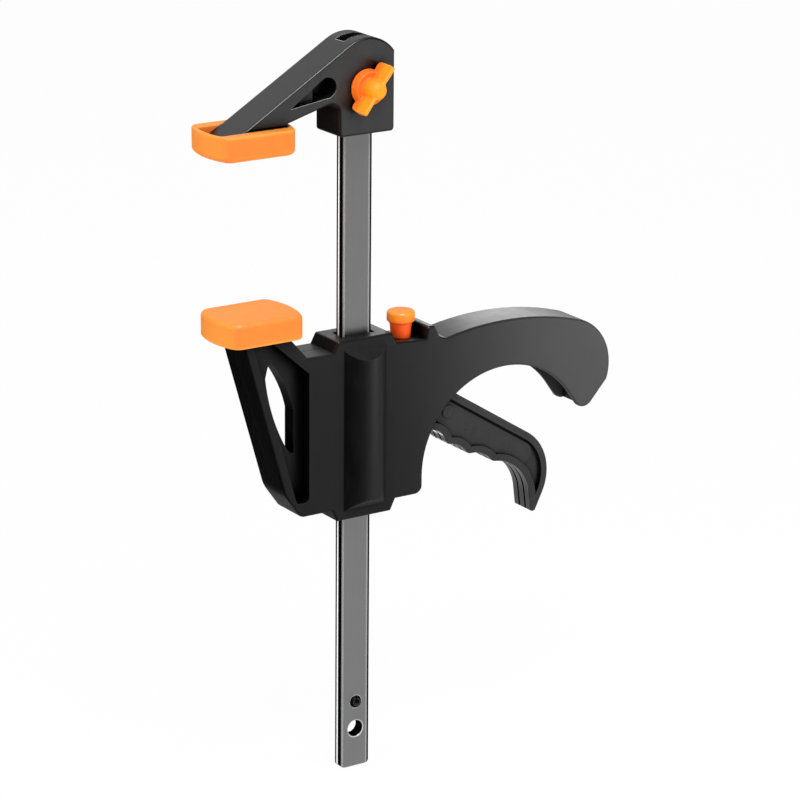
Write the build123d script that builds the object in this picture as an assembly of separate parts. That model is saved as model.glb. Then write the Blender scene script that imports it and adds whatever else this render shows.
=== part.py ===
"""Quick release bar clamp.

The bar stands along +Z with its lower end at the origin. The jaws reach towards -X, the
handle towards +X, and the clamp is 16 mm thick along Y. The wing screw is on the -Y side.
All sizes are in millimetres.
"""
import os
from math import acos, atan2, cos, degrees, hypot, radians, sin, sqrt

from build123d import *

# ---------------------------------------------------------------- driving dimensions
# Named clearances
GUIDE_GAP = 0.25
PLATE_GAP = 0.2
RUNNING_GAP = 0.05
FIXED_GAP = 0.02
MOVING_GAP = 0.3
SEAT_GAP = 0.1
PAD_GAP = 0.15
SCREW_GAP = 0.1
CUT_PAST = 1.0

# Flat steel bar, with the same cross hole near both ends and a stop pin
BAR_LENGTH = 272.4
BAR_WIDTH = 12.0
BAR_THICKNESS = 5.0
BAR_CORNER = 0.6
END_HOLE_HEIGHT = 14.8
STOP_PIN_ABOVE_HOLE = 10.7
STOP_PIN_RADIUS = 2.2
STOP_PIN_PROUD = 0.9
STOP_PIN_BORE = 1.2
STOP_PIN_SLIT = 0.5
STOP_PIN_CHAMFER = 0.4
STOP_PIN_HEIGHT = END_HOLE_HEIGHT + STOP_PIN_ABOVE_HOLE

# Wing screw, M6, with a thin hexagon nut behind the fixed jaw
SCREW_RADIUS = 3.0
SCREW_HEIGHT = BAR_LENGTH - END_HOLE_HEIGHT
END_HOLE_RADIUS = SCREW_RADIUS + SCREW_GAP
SCREW_DISC_RADIUS = 6.7
SCREW_DISC_THICKNESS = 2.0
SCREW_DISC_CHAMFER = 0.5
SCREW_BOSS_RADIUS = 3.7
SCREW_BOSS_HEIGHT = 9.4
SCREW_BOSS_ROUND = 1.5
SCREW_END_PROUD = 1.0
SCREW_END_CHAMFER = 0.6
STUD_REACH = 7.6
WING_REACH = 10.1
WING_HEIGHT = 8.4
WING_THICKNESS = 2.8
WING_ROUND = 1.2
WING_LIFT = 0.6
WING_TILT = 36.0
NUT_ACROSS_FLATS = 10.0
NUT_THICKNESS = 3.2

# Thickness of the plates, the cavity they move in, the casing and the fixed jaw
PLATE_MARGIN = 3.4
CASING_SIDE_WALL = 1.8
PLATE_HALF_WIDTH = BAR_THICKNESS / 2 + PLATE_MARGIN
CAVITY_HALF_WIDTH = PLATE_HALF_WIDTH + MOVING_GAP
HALF_THICKNESS = CAVITY_HALF_WIDTH + CASING_SIDE_WALL
EDGE_ROUND = 0.8

# Cup-shaped pads, the same on both jaws
PAD_STRAIGHT = 26.6
PAD_BULGE = 3.0
PAD_SIDE = 5.0
PAD_HALF_WIDTH = HALF_THICKNESS + PAD_SIDE
PAD_HEIGHT = 9.0
PAD_FLOOR = 3.0
PAD_END_WALL = 1.7
PAD_CORNER = 2.0
PAD_EDGE = 1.1

# Fixed jaw, whose heights are measured from the wing screw's axis
FIXED_PAD_CENTRE = -45.1
FIXED_PAD_DROP = 19.4
FIXED_PAD_FACE = SCREW_HEIGHT - FIXED_PAD_DROP
FIXED_BLOCK_DROP = 16.8
FIXED_BLOCK_BOTTOM = SCREW_HEIGHT - FIXED_BLOCK_DROP
FIXED_WALL_LEFT = 5.0
FIXED_WALL_RIGHT = 5.5
FIXED_BLOCK_LEFT = -BAR_WIDTH / 2 - FIXED_WALL_LEFT
FIXED_BLOCK_RIGHT = BAR_WIDTH / 2 + FIXED_WALL_RIGHT
FIXED_BLOCK_CORNER = 1.3
FIXED_CROWN_X = 0.3
FIXED_CROWN_RISE = 3.4
FIXED_CROWN_CENTRE = (FIXED_CROWN_X, SCREW_HEIGHT + FIXED_CROWN_RISE)
FIXED_CROWN_RADIUS = 14.0
FIXED_CROWN_MIDDLE_ANGLE = 80
FIXED_SLOPE = 31.2
FIXED_UNDERSIDE_SLOPE = 16.0
FIXED_UNDERSIDE_START = 1.0
FIXED_UNDERSIDE_FILLET = 3.5
WINDOW_END_X = -16.1
WINDOW_END_RISE = 1.5
WINDOW_END_CENTRE = (WINDOW_END_X, SCREW_HEIGHT + WINDOW_END_RISE)
WINDOW_END_RADIUS = 3.7
WINDOW_END_ANGLES = (115, 10, -75)
WINDOW_TIP_X = -31.0
WINDOW_TIP_DROP = 4.4
WINDOW_TIP = (WINDOW_TIP_X, SCREW_HEIGHT - WINDOW_TIP_DROP)
WINDOW_RECESS = 2.0
WINDOW_POCKET = 5.6
WINDOW_POCKET_LENGTH = 8.6

# Casing of the sliding body: its place on the bar, and heights above or below one another
CASING_BOTTOM = 99.7
FOOT_STEP = 4.3
CASING_FOOT = CASING_BOTTOM + FOOT_STEP
FOOT_CORNER = 3.0
COLUMN_HEIGHT = 59.1
CASING_SHOULDER = CASING_FOOT + COLUMN_HEIGHT
TOP_STEP = 3.9
CASING_TOP = CASING_SHOULDER + TOP_STEP
TOP_CORNER = 0.8
TOP_COUNTERBORE = 2.5
TOP_COUNTERBORE_GAP = 1.0
BLOCK_MARGIN = 5.3
BLOCK_HALF_WIDTH = BAR_WIDTH / 2 + BLOCK_MARGIN
BLOCK_TAPER = 2.1
NOTCH_DROP = 0.8
NOTCH_FLOOR = CASING_SHOULDER - NOTCH_DROP
COLUMN_JAW_SIDE = 12.0
COLUMN_HANDLE_SIDE = 13.7
COLUMN_LEFT = -BLOCK_HALF_WIDTH - COLUMN_JAW_SIDE
COLUMN_RIGHT = BLOCK_HALF_WIDTH + COLUMN_HANDLE_SIDE
NOTCH_PAST_COLUMN = 1.0
NOTCH_RIGHT = COLUMN_RIGHT + NOTCH_PAST_COLUMN
LIP_RISE = 4.6
LIP_TOP = NOTCH_FLOOR + LIP_RISE
LIP_WIDTH = 3.0
LIP_LEAN = 0.6
LIP_FALL = 2.4
LIP_FRONT_ROUND = 1.0
LIP_BACK_ROUND = 1.2
LIP_FOOT_ROUND = 2.0
WALL = 2.6

# Movable jaw, part of the casing
MOVABLE_PAD_CENTRE = -42.2
MOVABLE_PAD_RISE = 17.9
MOVABLE_PAD_FACE = CASING_SHOULDER + MOVABLE_PAD_RISE
ARM_TOP = -50.3
ARM_LOW_RISE = 9.3
ARM_LOW = (-33.3, CASING_FOOT + ARM_LOW_RISE)
ARM_LOW_ROUND = 12.0
ARM_HEEL_RISE = 0.5
ARM_HEEL = (-27.0, CASING_FOOT + ARM_HEEL_RISE)
ARM_HEEL_ROUND = 1.6
ARM_HEEL_BEVEL = 1.5
ARM_FLANGE = 3.5
GUSSET_TOP = -31.8
GUSSET_LOW = -24.1
GUSSET_UNDER_TOP = -39.7
GUSSET_UNDER_DROP = 5.8
GUSSET_UNDER_LOW = CASING_SHOULDER - GUSSET_UNDER_DROP
SOLE_THICKNESS = 5.4
JAW_RECESS_CORNER = 1.8
WEB_HALF_THICKNESS = 3.0
WEB_HOLE_TOP = (-36.9, CASING_SHOULDER - 0.3)
WEB_HOLE_SHOULDER = (-38.5, CASING_SHOULDER - 6.6)
WEB_HOLE_BEND = (-26.9, CASING_SHOULDER - 20.1)
WEB_HOLE_LOW = (-28.5, CASING_FOOT + 22.8)
WEB_HOLE_INNER_BOW = 1.35
WEB_HOLE_OUTER_BOW = 1.7
WEB_HOLE_LOW_ROUND = 0.7
WEB_HOLE_TOP_ROUND = 0.6
SEAM_WIDTH = 0.3
SEAM_DEPTH = 0.25

# Handle, built on from the notch behind the button
ARCH_RADIUS = 36.0
ARCH_RISE = 6.5
ARCH_CENTRE = (COLUMN_RIGHT + ARCH_RADIUS, CASING_FOOT + ARCH_RISE)
ARCH_ANGLES = (33, 100)
ARCH_TIP_ROUND = 6.0
HANDLE_START = (NOTCH_RIGHT + 9.0, NOTCH_FLOOR - 0.9)
HANDLE_CROWN = (ARCH_CENTRE[0], HANDLE_START[1] + 2.8)
TAIL_CENTRE = (ARCH_CENTRE[0] + 27.9, HANDLE_CROWN[1] - 23.8)
TAIL_RADIUS = 19.6
TAIL_ANGLES = (75.5, 15, -18.5)
HOOK_CENTRE = (TAIL_CENTRE[0] + 8.3, TAIL_CENTRE[1] - 11.1)
HOOK_RADIUS = 4.4
HOOK_ANGLES = (-42, -100, -150)

# Trigger, whose points are measured from its pivot
PIVOT_INSET = 4.0
PIVOT_RISE = 36.5
PIVOT = (COLUMN_RIGHT - PIVOT_INSET, CASING_FOOT + PIVOT_RISE)
TRIGGER_HALF_WIDTH = CAVITY_HALF_WIDTH - 0.7
TRIGGER_EDGE_ROUND = 0.5
TRIGGER_HEAD_RADIUS = 7.5
TRIGGER_HEAD_ANGLES = (-110, -145, 125, 95)
TRIGGER_LEAN = 32.3
TRIGGER_TOP_END = (52.0, -22.0)
TRIGGER_END_ROUND = 6.0
TRIGGER_NECK = 43.8
TRIGGER_TAIL = (61.2, -34.5)
TRIGGER_TIP = ((59.6, -47.3), (56.4, -53.9), (54.6, -53.9), (53.6, -46.0))
TRIGGER_TIP_ROUNDS = (0.8, 0.8)
TRIGGER_HOOK = (48.8, -36.3)
FINGER_RIDGES = ((36.8, -31.0), (25.6, -26.3), (16.2, -21.1), (9.4, -14.1))
FINGER_HOLLOW = 1.8
FINGER_RIDGE_ROUND = 2.6
TRIGGER_PIN_RADIUS = 2.0
TRIGGER_PIN_SEAT = 1.0
TRIGGER_HUB_HALF_WIDTH = TRIGGER_HALF_WIDTH - 0.9
TRIGGER_RIM = 2.7
TRIGGER_RECESS = 1.5
TRIGGER_PANEL_START = 11.0
TRIGGER_PLATEAU = 0.55
TRIGGER_PLATEAU_RADIUS = 4.2
TRIGGER_PLATEAU_LENGTH = 42.0
TRIGGER_PLATEAU_END = (50.6, -30.4)
TRIGGER_DOT = 0.9
TRIGGER_DOT_RADIUS = 2.4
TRIGGER_DOT_PLACE = (17.0, -8.4)
GRIP_GROOVE_DEPTH = 0.5
GRIP_GROOVE_WIDTH = 1.0
GRIP_GROOVE_PLACE = 1.9
NOSE_RADIUS = 1.6
NOSE_REACH = 10.0
CASING_BOSS_RADIUS = 4.4

# Drive plates, washer and spring
PLATE_ABOVE_PIVOT = 0.3
PLATE_TOP = PIVOT[1] + PLATE_ABOVE_PIVOT
PLATE_LEFT = -BAR_WIDTH / 2 - 3.3
PLATE_RIGHT = BAR_WIDTH / 2 + 6.6
PLATE_CORNER = 1.5
PLATE_THICKNESS = 2.2
PLATE_TRAVEL_ROOM = 5.5
WASHER_THICKNESS = 1.1
WASHER_RADIUS = BAR_WIDTH / 2 + 2.3
WASHER_TOP = PLATE_TOP - 2 * PLATE_THICKNESS
SPRING_MEAN_RADIUS = WASHER_RADIUS - 0.8
SPRING_WIRE_RADIUS = 0.6
SPRING_TURNS = 8
SPRING_SEAT = CASING_FOOT + 1.0
BULGE_WALL = 3.4
BULGE_RADIUS = WASHER_RADIUS + MOVING_GAP + BULGE_WALL
BULGE_BELOW_FOOT = 1.0
BULGE_ABOVE_SHOULDER = 0.5

# Brake plate, its spring and the release button
BRAKE_FULCRUM = (-BAR_WIDTH / 2 - 2.0, CASING_SHOULDER - 6.6)
BRAKE_TAIL = 1.3
BRAKE_LENGTH = 31.5
BRAKE_THICKNESS = 2.5
BRAKE_TILT = 5.0
BRAKE_SPRING_RADIUS = 2.6
BRAKE_SPRING_WIRE = 0.35
BRAKE_SPRING_TURNS = 4
BRAKE_RIB_DROP = 5.7
BRAKE_RIB_TOP = BRAKE_FULCRUM[1] - BRAKE_RIB_DROP
BRAKE_RIB_THICKNESS = 1.6
BUTTON_X = 20.1
BRAKE_RIB_LEFT = BUTTON_X - 4.6
BRAKE_RIB_RIGHT = BUTTON_X + 4.5
BUTTON_RISE = 9.9
BUTTON_TOP = NOTCH_FLOOR + BUTTON_RISE
BUTTON_HEAD_RADIUS = 5.1
BUTTON_HEAD_HEIGHT = 3.6
BUTTON_HEAD_ROUND = 1.0
BUTTON_NECK_SLOPE = 1.0
BUTTON_STEM_RADIUS = 4.1
BUTTON_STEM_LOW_RADIUS = 3.3
BUTTON_COLLAR_RADIUS = 5.1
BUTTON_COLLAR_THICKNESS = 1.0
BUTTON_WALL = 1.7

# Casing screws
CASING_SCREWS = (
    (COLUMN_LEFT + 6.3, CASING_FOOT + 6.5),
    (COLUMN_LEFT + 6.3, CASING_SHOULDER - 9.1),
    (COLUMN_RIGHT - 6.8, CASING_FOOT + 6.0),
    (COLUMN_RIGHT + 11.0, CASING_SHOULDER - 8.7),
    (TAIL_CENTRE[0] + 12.4, TAIL_CENTRE[1] - 3.4),
)
CASING_SCREW_RADIUS = 1.5
CASING_SCREW_HEAD_RADIUS = 2.7
CASING_SCREW_HEAD = 1.8
CASING_SCREW_HEAD_ROUND = 0.7
CASING_SCREW_LENGTH = 11.6
CASING_SCREW_SINK = 2.4
CASING_SCREW_TIP_GAP = 0.4
DRIVE_SLOT_HALF_WIDTH = 0.4
DRIVE_SLOT_REACH = 1.5
DRIVE_SLOT_DEPTH = 1.0
SCREW_BOSS_WALL = 1.3


# ---------------------------------------------------------------- helpers
def upright(radius, z_low, z_high):
    """A cylinder along Z between two heights."""
    return Pos(0, 0, (z_low + z_high) / 2) * Cylinder(radius, z_high - z_low)


def side_plate(outline, half_width):
    """Thickens an outline in the XZ plane equally to both sides of the centre plane."""
    return extrude(Plane.XZ * outline, amount=half_width, both=True)


def cross_pin(x, z, radius, y_start, y_end):
    """A cylinder along Y between two Y values."""
    middle = (y_start + y_end) / 2
    cylinder = Rot(90, 0, 0) * Cylinder(radius, abs(y_end - y_start))
    return Pos(x, middle, z) * cylinder


def block(x_low, x_high, y_low, y_high, z_low, z_high):
    """A box between six limits."""
    centre = ((x_low + x_high) / 2, (y_low + y_high) / 2, (z_low + z_high) / 2)
    return Pos(*centre) * Box(x_high - x_low, y_high - y_low, z_high - z_low)


def on_circle(centre, radius, angle):
    """The point of a circle in the XZ plane at an angle in degrees from +X."""
    return (centre[0] + radius * cos(radians(angle)), centre[1] + radius * sin(radians(angle)))


def along(start, angle, distance):
    """The point a distance away from start at an angle in degrees from +X."""
    return on_circle(start, distance, angle)


def bar_slot(gap, z_low, z_high):
    """The rectangular way that the bar takes through a piece."""
    half_x = BAR_WIDTH / 2 + gap
    half_y = BAR_THICKNESS / 2 + gap
    return block(-half_x, half_x, -half_y, half_y, z_low, z_high)


def coil(mean_radius, wire_radius, turns, z_low, z_high):
    """An open coil spring along Z whose wire stays between two heights."""
    height = z_high - z_low - 2 * wire_radius
    path = Helix(pitch=height / turns, height=height, radius=mean_radius)
    start = Plane(origin=path @ 0, z_dir=path % 0)
    return Pos(0, 0, z_low + wire_radius) * sweep(start * Circle(wire_radius), path=path)


def save(name, shape):
    """Writes one named piece."""
    solids = shape.solids()
    export_step(solids[0] if len(solids) == 1 else Compound(children=solids),
                os.path.join("parts", name + ".step"))
    print(name, len(solids), round(sum(solid.volume for solid in solids), 1))


# ---------------------------------------------------------------- pads and feet
def pad_plan(half_width, end_inset):
    """A rectangle in the XY plane whose two ends swell outwards as parallel arcs."""
    swell_radius = (PAD_HALF_WIDTH ** 2 + PAD_BULGE ** 2) / (2 * PAD_BULGE)
    crown = PAD_STRAIGHT / 2 + PAD_BULGE - end_inset
    corner = crown - swell_radius + sqrt(swell_radius ** 2 - half_width ** 2)
    right = ThreePointArc((corner, -half_width), (crown, 0), (corner, half_width))
    left = ThreePointArc((-corner, half_width), (-crown, 0), (-corner, -half_width))
    back = Line((corner, half_width), (-corner, half_width))
    front = Line((-corner, -half_width), (corner, -half_width))
    return make_face([right, back, left, front])


def pad(centre_x, face_z, up):
    """A cup-shaped pad; up is 1 where its closed face looks up and -1 where it looks down."""
    shell = extrude(pad_plan(PAD_HALF_WIDTH, 0), amount=PAD_HEIGHT)
    shell = fillet(shell.edges().filter_by(Axis.Z), PAD_CORNER)
    shell = fillet(shell.faces().sort_by(Axis.Z)[-1].edges(), PAD_EDGE)
    pocket = extrude(pad_plan(HALF_THICKNESS + PAD_GAP, PAD_END_WALL), amount=PAD_HEIGHT - PAD_FLOOR)
    cup = Pos(0, 0, -PAD_HEIGHT) * (shell - pocket)
    turned = cup if up > 0 else Rot(180, 0, 0) * cup
    return Pos(centre_x, 0, face_z) * turned


def jaw_foot(centre_x, face_z, up):
    """The foot that fills a pad's pocket, down to the pad's rim."""
    depth = PAD_HEIGHT - PAD_FLOOR
    plate = extrude(pad_plan(HALF_THICKNESS, PAD_END_WALL + PAD_GAP), amount=-depth)
    top = face_z - up * PAD_FLOOR
    turned = plate if up > 0 else Rot(180, 0, 0) * plate
    return Pos(centre_x, 0, top) * turned


# ---------------------------------------------------------------- bar group
def shifted(origin, point):
    """The point whose place is measured from origin."""
    return (origin[0] + point[0], origin[1] + point[1])


def make_bar():
    flat = Pos(0, 0, BAR_LENGTH / 2) * Box(BAR_WIDTH, BAR_THICKNESS, BAR_LENGTH)
    flat = fillet(flat.edges().filter_by(Axis.Y), BAR_CORNER)
    reach = BAR_THICKNESS / 2 + CUT_PAST
    flat -= cross_pin(0, END_HOLE_HEIGHT, END_HOLE_RADIUS, -reach, reach)
    flat -= cross_pin(0, SCREW_HEIGHT, END_HOLE_RADIUS, -reach, reach)
    flat -= cross_pin(0, STOP_PIN_HEIGHT, STOP_PIN_RADIUS + FIXED_GAP, -reach, reach)
    return flat


def make_stop_pin():
    reach = BAR_THICKNESS / 2 + STOP_PIN_PROUD
    pin = cross_pin(0, STOP_PIN_HEIGHT, STOP_PIN_RADIUS, -reach, reach)
    pin = chamfer(pin.edges(), STOP_PIN_CHAMFER)
    pin -= cross_pin(0, STOP_PIN_HEIGHT, STOP_PIN_BORE, -reach, reach)
    half_slit = STOP_PIN_SLIT / 2
    slit = block(-half_slit, half_slit, -reach, reach, STOP_PIN_HEIGHT, STOP_PIN_HEIGHT + STOP_PIN_RADIUS)
    return pin - slit


def window_outline():
    """The teardrop in the fixed jaw's side: a round end drawn out to a point."""
    top, right, low = (on_circle(WINDOW_END_CENTRE, WINDOW_END_RADIUS, angle)
                       for angle in WINDOW_END_ANGLES)
    arc = ThreePointArc(top, right, low)
    return make_face([arc, Line(low, WINDOW_TIP), Line(WINDOW_TIP, top)])


def make_fixed_jaw():
    crown = FIXED_CROWN_CENTRE
    slope_end = on_circle(crown, FIXED_CROWN_RADIUS, 90 + FIXED_SLOPE)
    rim = FIXED_PAD_FACE + PAD_HEIGHT
    run = (slope_end[1] - rim) / sin(radians(FIXED_SLOPE))
    slope_start = along(slope_end, 180 + FIXED_SLOPE, run)
    right_drop = sqrt(FIXED_CROWN_RADIUS ** 2 - (FIXED_BLOCK_RIGHT - crown[0]) ** 2)
    crown_end = (FIXED_BLOCK_RIGHT, crown[1] + right_drop)
    foot_right = FIXED_PAD_CENTRE + PAD_STRAIGHT / 2
    under_start = (foot_right, rim + FIXED_UNDERSIDE_START)
    under_run = (FIXED_BLOCK_LEFT - foot_right) / cos(radians(FIXED_UNDERSIDE_SLOPE))
    under_end = along(under_start, FIXED_UNDERSIDE_SLOPE, under_run)
    crown_middle = on_circle(crown, FIXED_CROWN_RADIUS, FIXED_CROWN_MIDDLE_ANGLE)
    top_arc = ThreePointArc(slope_end, crown_middle, crown_end)
    rest = Polyline(
        crown_end,
        (FIXED_BLOCK_RIGHT, FIXED_BLOCK_BOTTOM),
        (FIXED_BLOCK_LEFT, FIXED_BLOCK_BOTTOM),
        under_end,
        under_start,
        (foot_right, rim),
        slope_start,
        slope_end,
    )
    outline = make_face([top_arc, rest])
    corner = outline.vertices().sort_by_distance((*under_end, 0))[0]
    outline = fillet(corner, FIXED_UNDERSIDE_FILLET)
    lower = outline.vertices().sort_by(Axis.Y)[:2]
    outline = fillet(lower, FIXED_BLOCK_CORNER)
    jaw = side_plate(outline, HALF_THICKNESS)
    sides = jaw.faces().filter_by(Axis.Y)
    jaw = fillet([edge for face in sides for edge in face.edges()], EDGE_ROUND)
    jaw += fixed_foot_slope(slope_start, slope_end)
    for side in (-1, 1):
        depth = HALF_THICKNESS - WINDOW_RECESS
        recess = side_plate(window_outline(), WINDOW_RECESS)
        jaw -= Pos(0, side * HALF_THICKNESS, 0) * recess
        pocket = Pos(0, side * depth, 0) * side_plate(window_outline(), WINDOW_POCKET - WINDOW_RECESS)
        left = WINDOW_END_CENTRE[0] + WINDOW_END_RADIUS - WINDOW_POCKET_LENGTH
        jaw -= pocket & block(left, 0, -HALF_THICKNESS, HALF_THICKNESS, FIXED_PAD_FACE, BAR_LENGTH)
    crown_top = crown[1] + FIXED_CROWN_RADIUS
    jaw -= bar_slot(GUIDE_GAP, FIXED_BLOCK_BOTTOM - CUT_PAST, crown_top + CUT_PAST)
    reach = HALF_THICKNESS + CUT_PAST
    jaw -= cross_pin(0, SCREW_HEIGHT, END_HOLE_RADIUS + SCREW_GAP, -reach, reach)
    nut_space = hexagon(NUT_ACROSS_FLATS / 2 + SEAT_GAP, NUT_THICKNESS + SEAT_GAP)
    jaw -= Pos(0, HALF_THICKNESS - NUT_THICKNESS - SEAT_GAP, SCREW_HEIGHT) * nut_space
    return jaw


def fixed_foot_slope(slope_start, slope_end):
    """The fixed jaw's foot: it fills the pad's pocket under the jaw's own slope."""
    foot = jaw_foot(FIXED_PAD_CENTRE, FIXED_PAD_FACE, -1)
    below = along(slope_start, 180 + FIXED_SLOPE, 2 * PAD_HEIGHT / sin(radians(FIXED_SLOPE)))
    under_slope = make_face(Polyline(below, slope_end, (slope_end[0], below[1]), below))
    return foot & side_plate(under_slope, HALF_THICKNESS)


def hexagon(flat_radius, thickness):
    """A hexagonal prism from Y = 0 to +Y = thickness, with two flats facing up and down."""
    outline = RegularPolygon(flat_radius, 6, major_radius=False, rotation=30)
    return extrude(Plane.XZ * outline, amount=-thickness)


def make_nut():
    nut = hexagon(NUT_ACROSS_FLATS / 2, NUT_THICKNESS)
    nut = Pos(0, HALF_THICKNESS - NUT_THICKNESS, SCREW_HEIGHT) * nut
    return nut - cross_pin(0, SCREW_HEIGHT, SCREW_RADIUS + RUNNING_GAP, 0, HALF_THICKNESS + CUT_PAST)


# ---------------------------------------------------------------- wing screw
def make_wing_head():
    face = -HALF_THICKNESS
    disc = cross_pin(0, SCREW_HEIGHT, SCREW_DISC_RADIUS, face, face - SCREW_DISC_THICKNESS)
    disc = chamfer(disc.edges().sort_by(Axis.Y)[0], SCREW_DISC_CHAMFER)
    boss = cross_pin(0, SCREW_HEIGHT, SCREW_BOSS_RADIUS, face, face - SCREW_BOSS_HEIGHT)
    boss = fillet(boss.edges().sort_by(Axis.Y)[0], SCREW_BOSS_ROUND)
    wing = Pos(0, (WING_LIFT + WING_HEIGHT) / 2) * Rectangle(2 * WING_REACH, WING_HEIGHT - WING_LIFT)
    wing = fillet(wing.vertices(), WING_ROUND)
    plate = extrude(wing, amount=WING_THICKNESS / 2, both=True)
    standing = Rot(0, 90, 0) * (Rot(0, 0, 180) * plate)
    tilted = Rot(0, WING_TILT, 0) * standing
    wings = Pos(0, face, SCREW_HEIGHT) * tilted
    head = disc + boss + wings
    bore_end = face - STUD_REACH - SEAT_GAP
    return head - cross_pin(0, SCREW_HEIGHT, SCREW_RADIUS + FIXED_GAP, face, bore_end)


def make_stud():
    start = -HALF_THICKNESS - STUD_REACH
    stud = cross_pin(0, SCREW_HEIGHT, SCREW_RADIUS, start, HALF_THICKNESS + SCREW_END_PROUD)
    return chamfer(stud.edges().sort_by(Axis.Y)[-1], SCREW_END_CHAMFER)


# ---------------------------------------------------------------- casing
def handle_points():
    """Named points of the handle's outline, each on one of its round stretches."""
    rounds = (
        (("tail_top", "tail_right", "tail_low"), TAIL_CENTRE, TAIL_RADIUS, TAIL_ANGLES),
        (("hook_right", "hook_bottom", "hook_left"), HOOK_CENTRE, HOOK_RADIUS, HOOK_ANGLES),
        (("arch_right", "arch_top"), ARCH_CENTRE, ARCH_RADIUS, ARCH_ANGLES),
    )
    points = {"arch_left": (COLUMN_RIGHT, ARCH_CENTRE[1])}
    for names, centre, radius, angles in rounds:
        for name, angle in zip(names, angles):
            points[name] = on_circle(centre, radius, angle)
    return points


def casing_outline(open_arch):
    """The casing's side view. With open_arch the space under the handle counts as inside."""
    handle = handle_points()
    top_left = (-BLOCK_HALF_WIDTH - BLOCK_TAPER, CASING_SHOULDER)
    top_right = (BLOCK_HALF_WIDTH + BLOCK_TAPER, CASING_SHOULDER)
    lip_left = NOTCH_RIGHT + LIP_LEAN
    upper = Polyline(
        (ARM_TOP, MOVABLE_PAD_FACE - PAD_HEIGHT),
        (GUSSET_TOP, MOVABLE_PAD_FACE - PAD_HEIGHT),
        (GUSSET_LOW, CASING_SHOULDER),
        top_left,
        (-BLOCK_HALF_WIDTH, CASING_TOP),
        (BLOCK_HALF_WIDTH, CASING_TOP),
        top_right,
        (NOTCH_RIGHT, NOTCH_FLOOR),
        (lip_left, LIP_TOP),
        (lip_left + LIP_WIDTH, LIP_TOP),
        (lip_left + LIP_WIDTH + LIP_FALL, NOTCH_FLOOR),
        HANDLE_START,
    )
    crown = ThreePointArc(HANDLE_START, HANDLE_CROWN, handle["tail_top"])
    tail = ThreePointArc(handle["tail_top"], handle["tail_right"], handle["tail_low"])
    tail_line = Line(handle["tail_low"], handle["hook_right"])
    foot_right = BLOCK_HALF_WIDTH + BLOCK_TAPER
    lower = Polyline(
        handle["arch_left"],
        (COLUMN_RIGHT, CASING_FOOT),
        (foot_right, CASING_FOOT),
        (BLOCK_HALF_WIDTH, CASING_BOTTOM),
        (-BLOCK_HALF_WIDTH, CASING_BOTTOM),
        (-foot_right, CASING_FOOT),
        (ARM_HEEL[0] + ARM_HEEL_BEVEL, CASING_FOOT),
        ARM_HEEL,
        ARM_LOW,
        (ARM_TOP, MOVABLE_PAD_FACE - PAD_HEIGHT),
    )
    if open_arch:
        below = CASING_BOTTOM - 2 * WALL
        around = Polyline(
            handle["hook_right"],
            (handle["hook_right"][0], below),
            (ARM_TOP, below),
            (ARM_TOP, MOVABLE_PAD_FACE - PAD_HEIGHT),
        )
        return make_face([upper, crown, tail, tail_line, around])
    hook = ThreePointArc(handle["hook_right"], handle["hook_bottom"], handle["hook_left"])
    hook_line = Line(handle["hook_left"], handle["arch_right"])
    arch = ThreePointArc(handle["arch_right"], handle["arch_top"], handle["arch_left"])
    return make_face([upper, crown, tail, tail_line, hook, hook_line, arch, lower])


def round_outline(outline):
    """Rounds the casing outline's corners where the moulding is rounded."""
    lip_left = NOTCH_RIGHT + LIP_LEAN
    rounds = (
        ((lip_left, LIP_TOP), LIP_FRONT_ROUND),
        ((lip_left + LIP_WIDTH, LIP_TOP), LIP_BACK_ROUND),
        ((lip_left + LIP_WIDTH + LIP_FALL, NOTCH_FLOOR), LIP_FOOT_ROUND),
        ((COLUMN_RIGHT, CASING_FOOT), FOOT_CORNER),
        (ARM_LOW, ARM_LOW_ROUND),
        (ARM_HEEL, ARM_HEEL_ROUND),
        ((-BLOCK_HALF_WIDTH, CASING_TOP), TOP_CORNER),
        ((BLOCK_HALF_WIDTH, CASING_TOP), TOP_CORNER),
        (handle_points()["arch_right"], ARCH_TIP_ROUND),
    )
    for place, radius in rounds:
        corner = outline.vertices().sort_by_distance((*place, 0))[0]
        outline = fillet(corner, radius)
    return outline


def bulge():
    """The half-round housings of the drive spring, with ends sloped at 45 degrees."""
    rise = BULGE_RADIUS - HALF_THICKNESS
    low = CASING_FOOT - BULGE_BELOW_FOOT
    high = CASING_SHOULDER + BULGE_ABOVE_SHOULDER
    barrel = upright(BULGE_RADIUS, low, high)
    side_view = make_face(Polyline(
        (-BULGE_RADIUS, low + rise),
        (-HALF_THICKNESS, low),
        (HALF_THICKNESS, low),
        (BULGE_RADIUS, low + rise),
        (BULGE_RADIUS, high - rise),
        (HALF_THICKNESS, high),
        (-HALF_THICKNESS, high),
        (-BULGE_RADIUS, high - rise),
        (-BULGE_RADIUS, low + rise),
    ))
    return barrel & extrude(Plane.YZ * side_view, amount=BULGE_RADIUS, both=True)


def arm_inner_line():
    """Two points on the inner side of the arm's outer flange."""
    top = (ARM_TOP, MOVABLE_PAD_FACE - PAD_HEIGHT)
    lean = sqrt((ARM_LOW[0] - top[0]) ** 2 + (ARM_LOW[1] - top[1]) ** 2)
    shift = ARM_FLANGE * lean / (top[1] - ARM_LOW[1])
    return (top[0] + shift, top[1]), (ARM_LOW[0] + shift, ARM_LOW[1])


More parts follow.
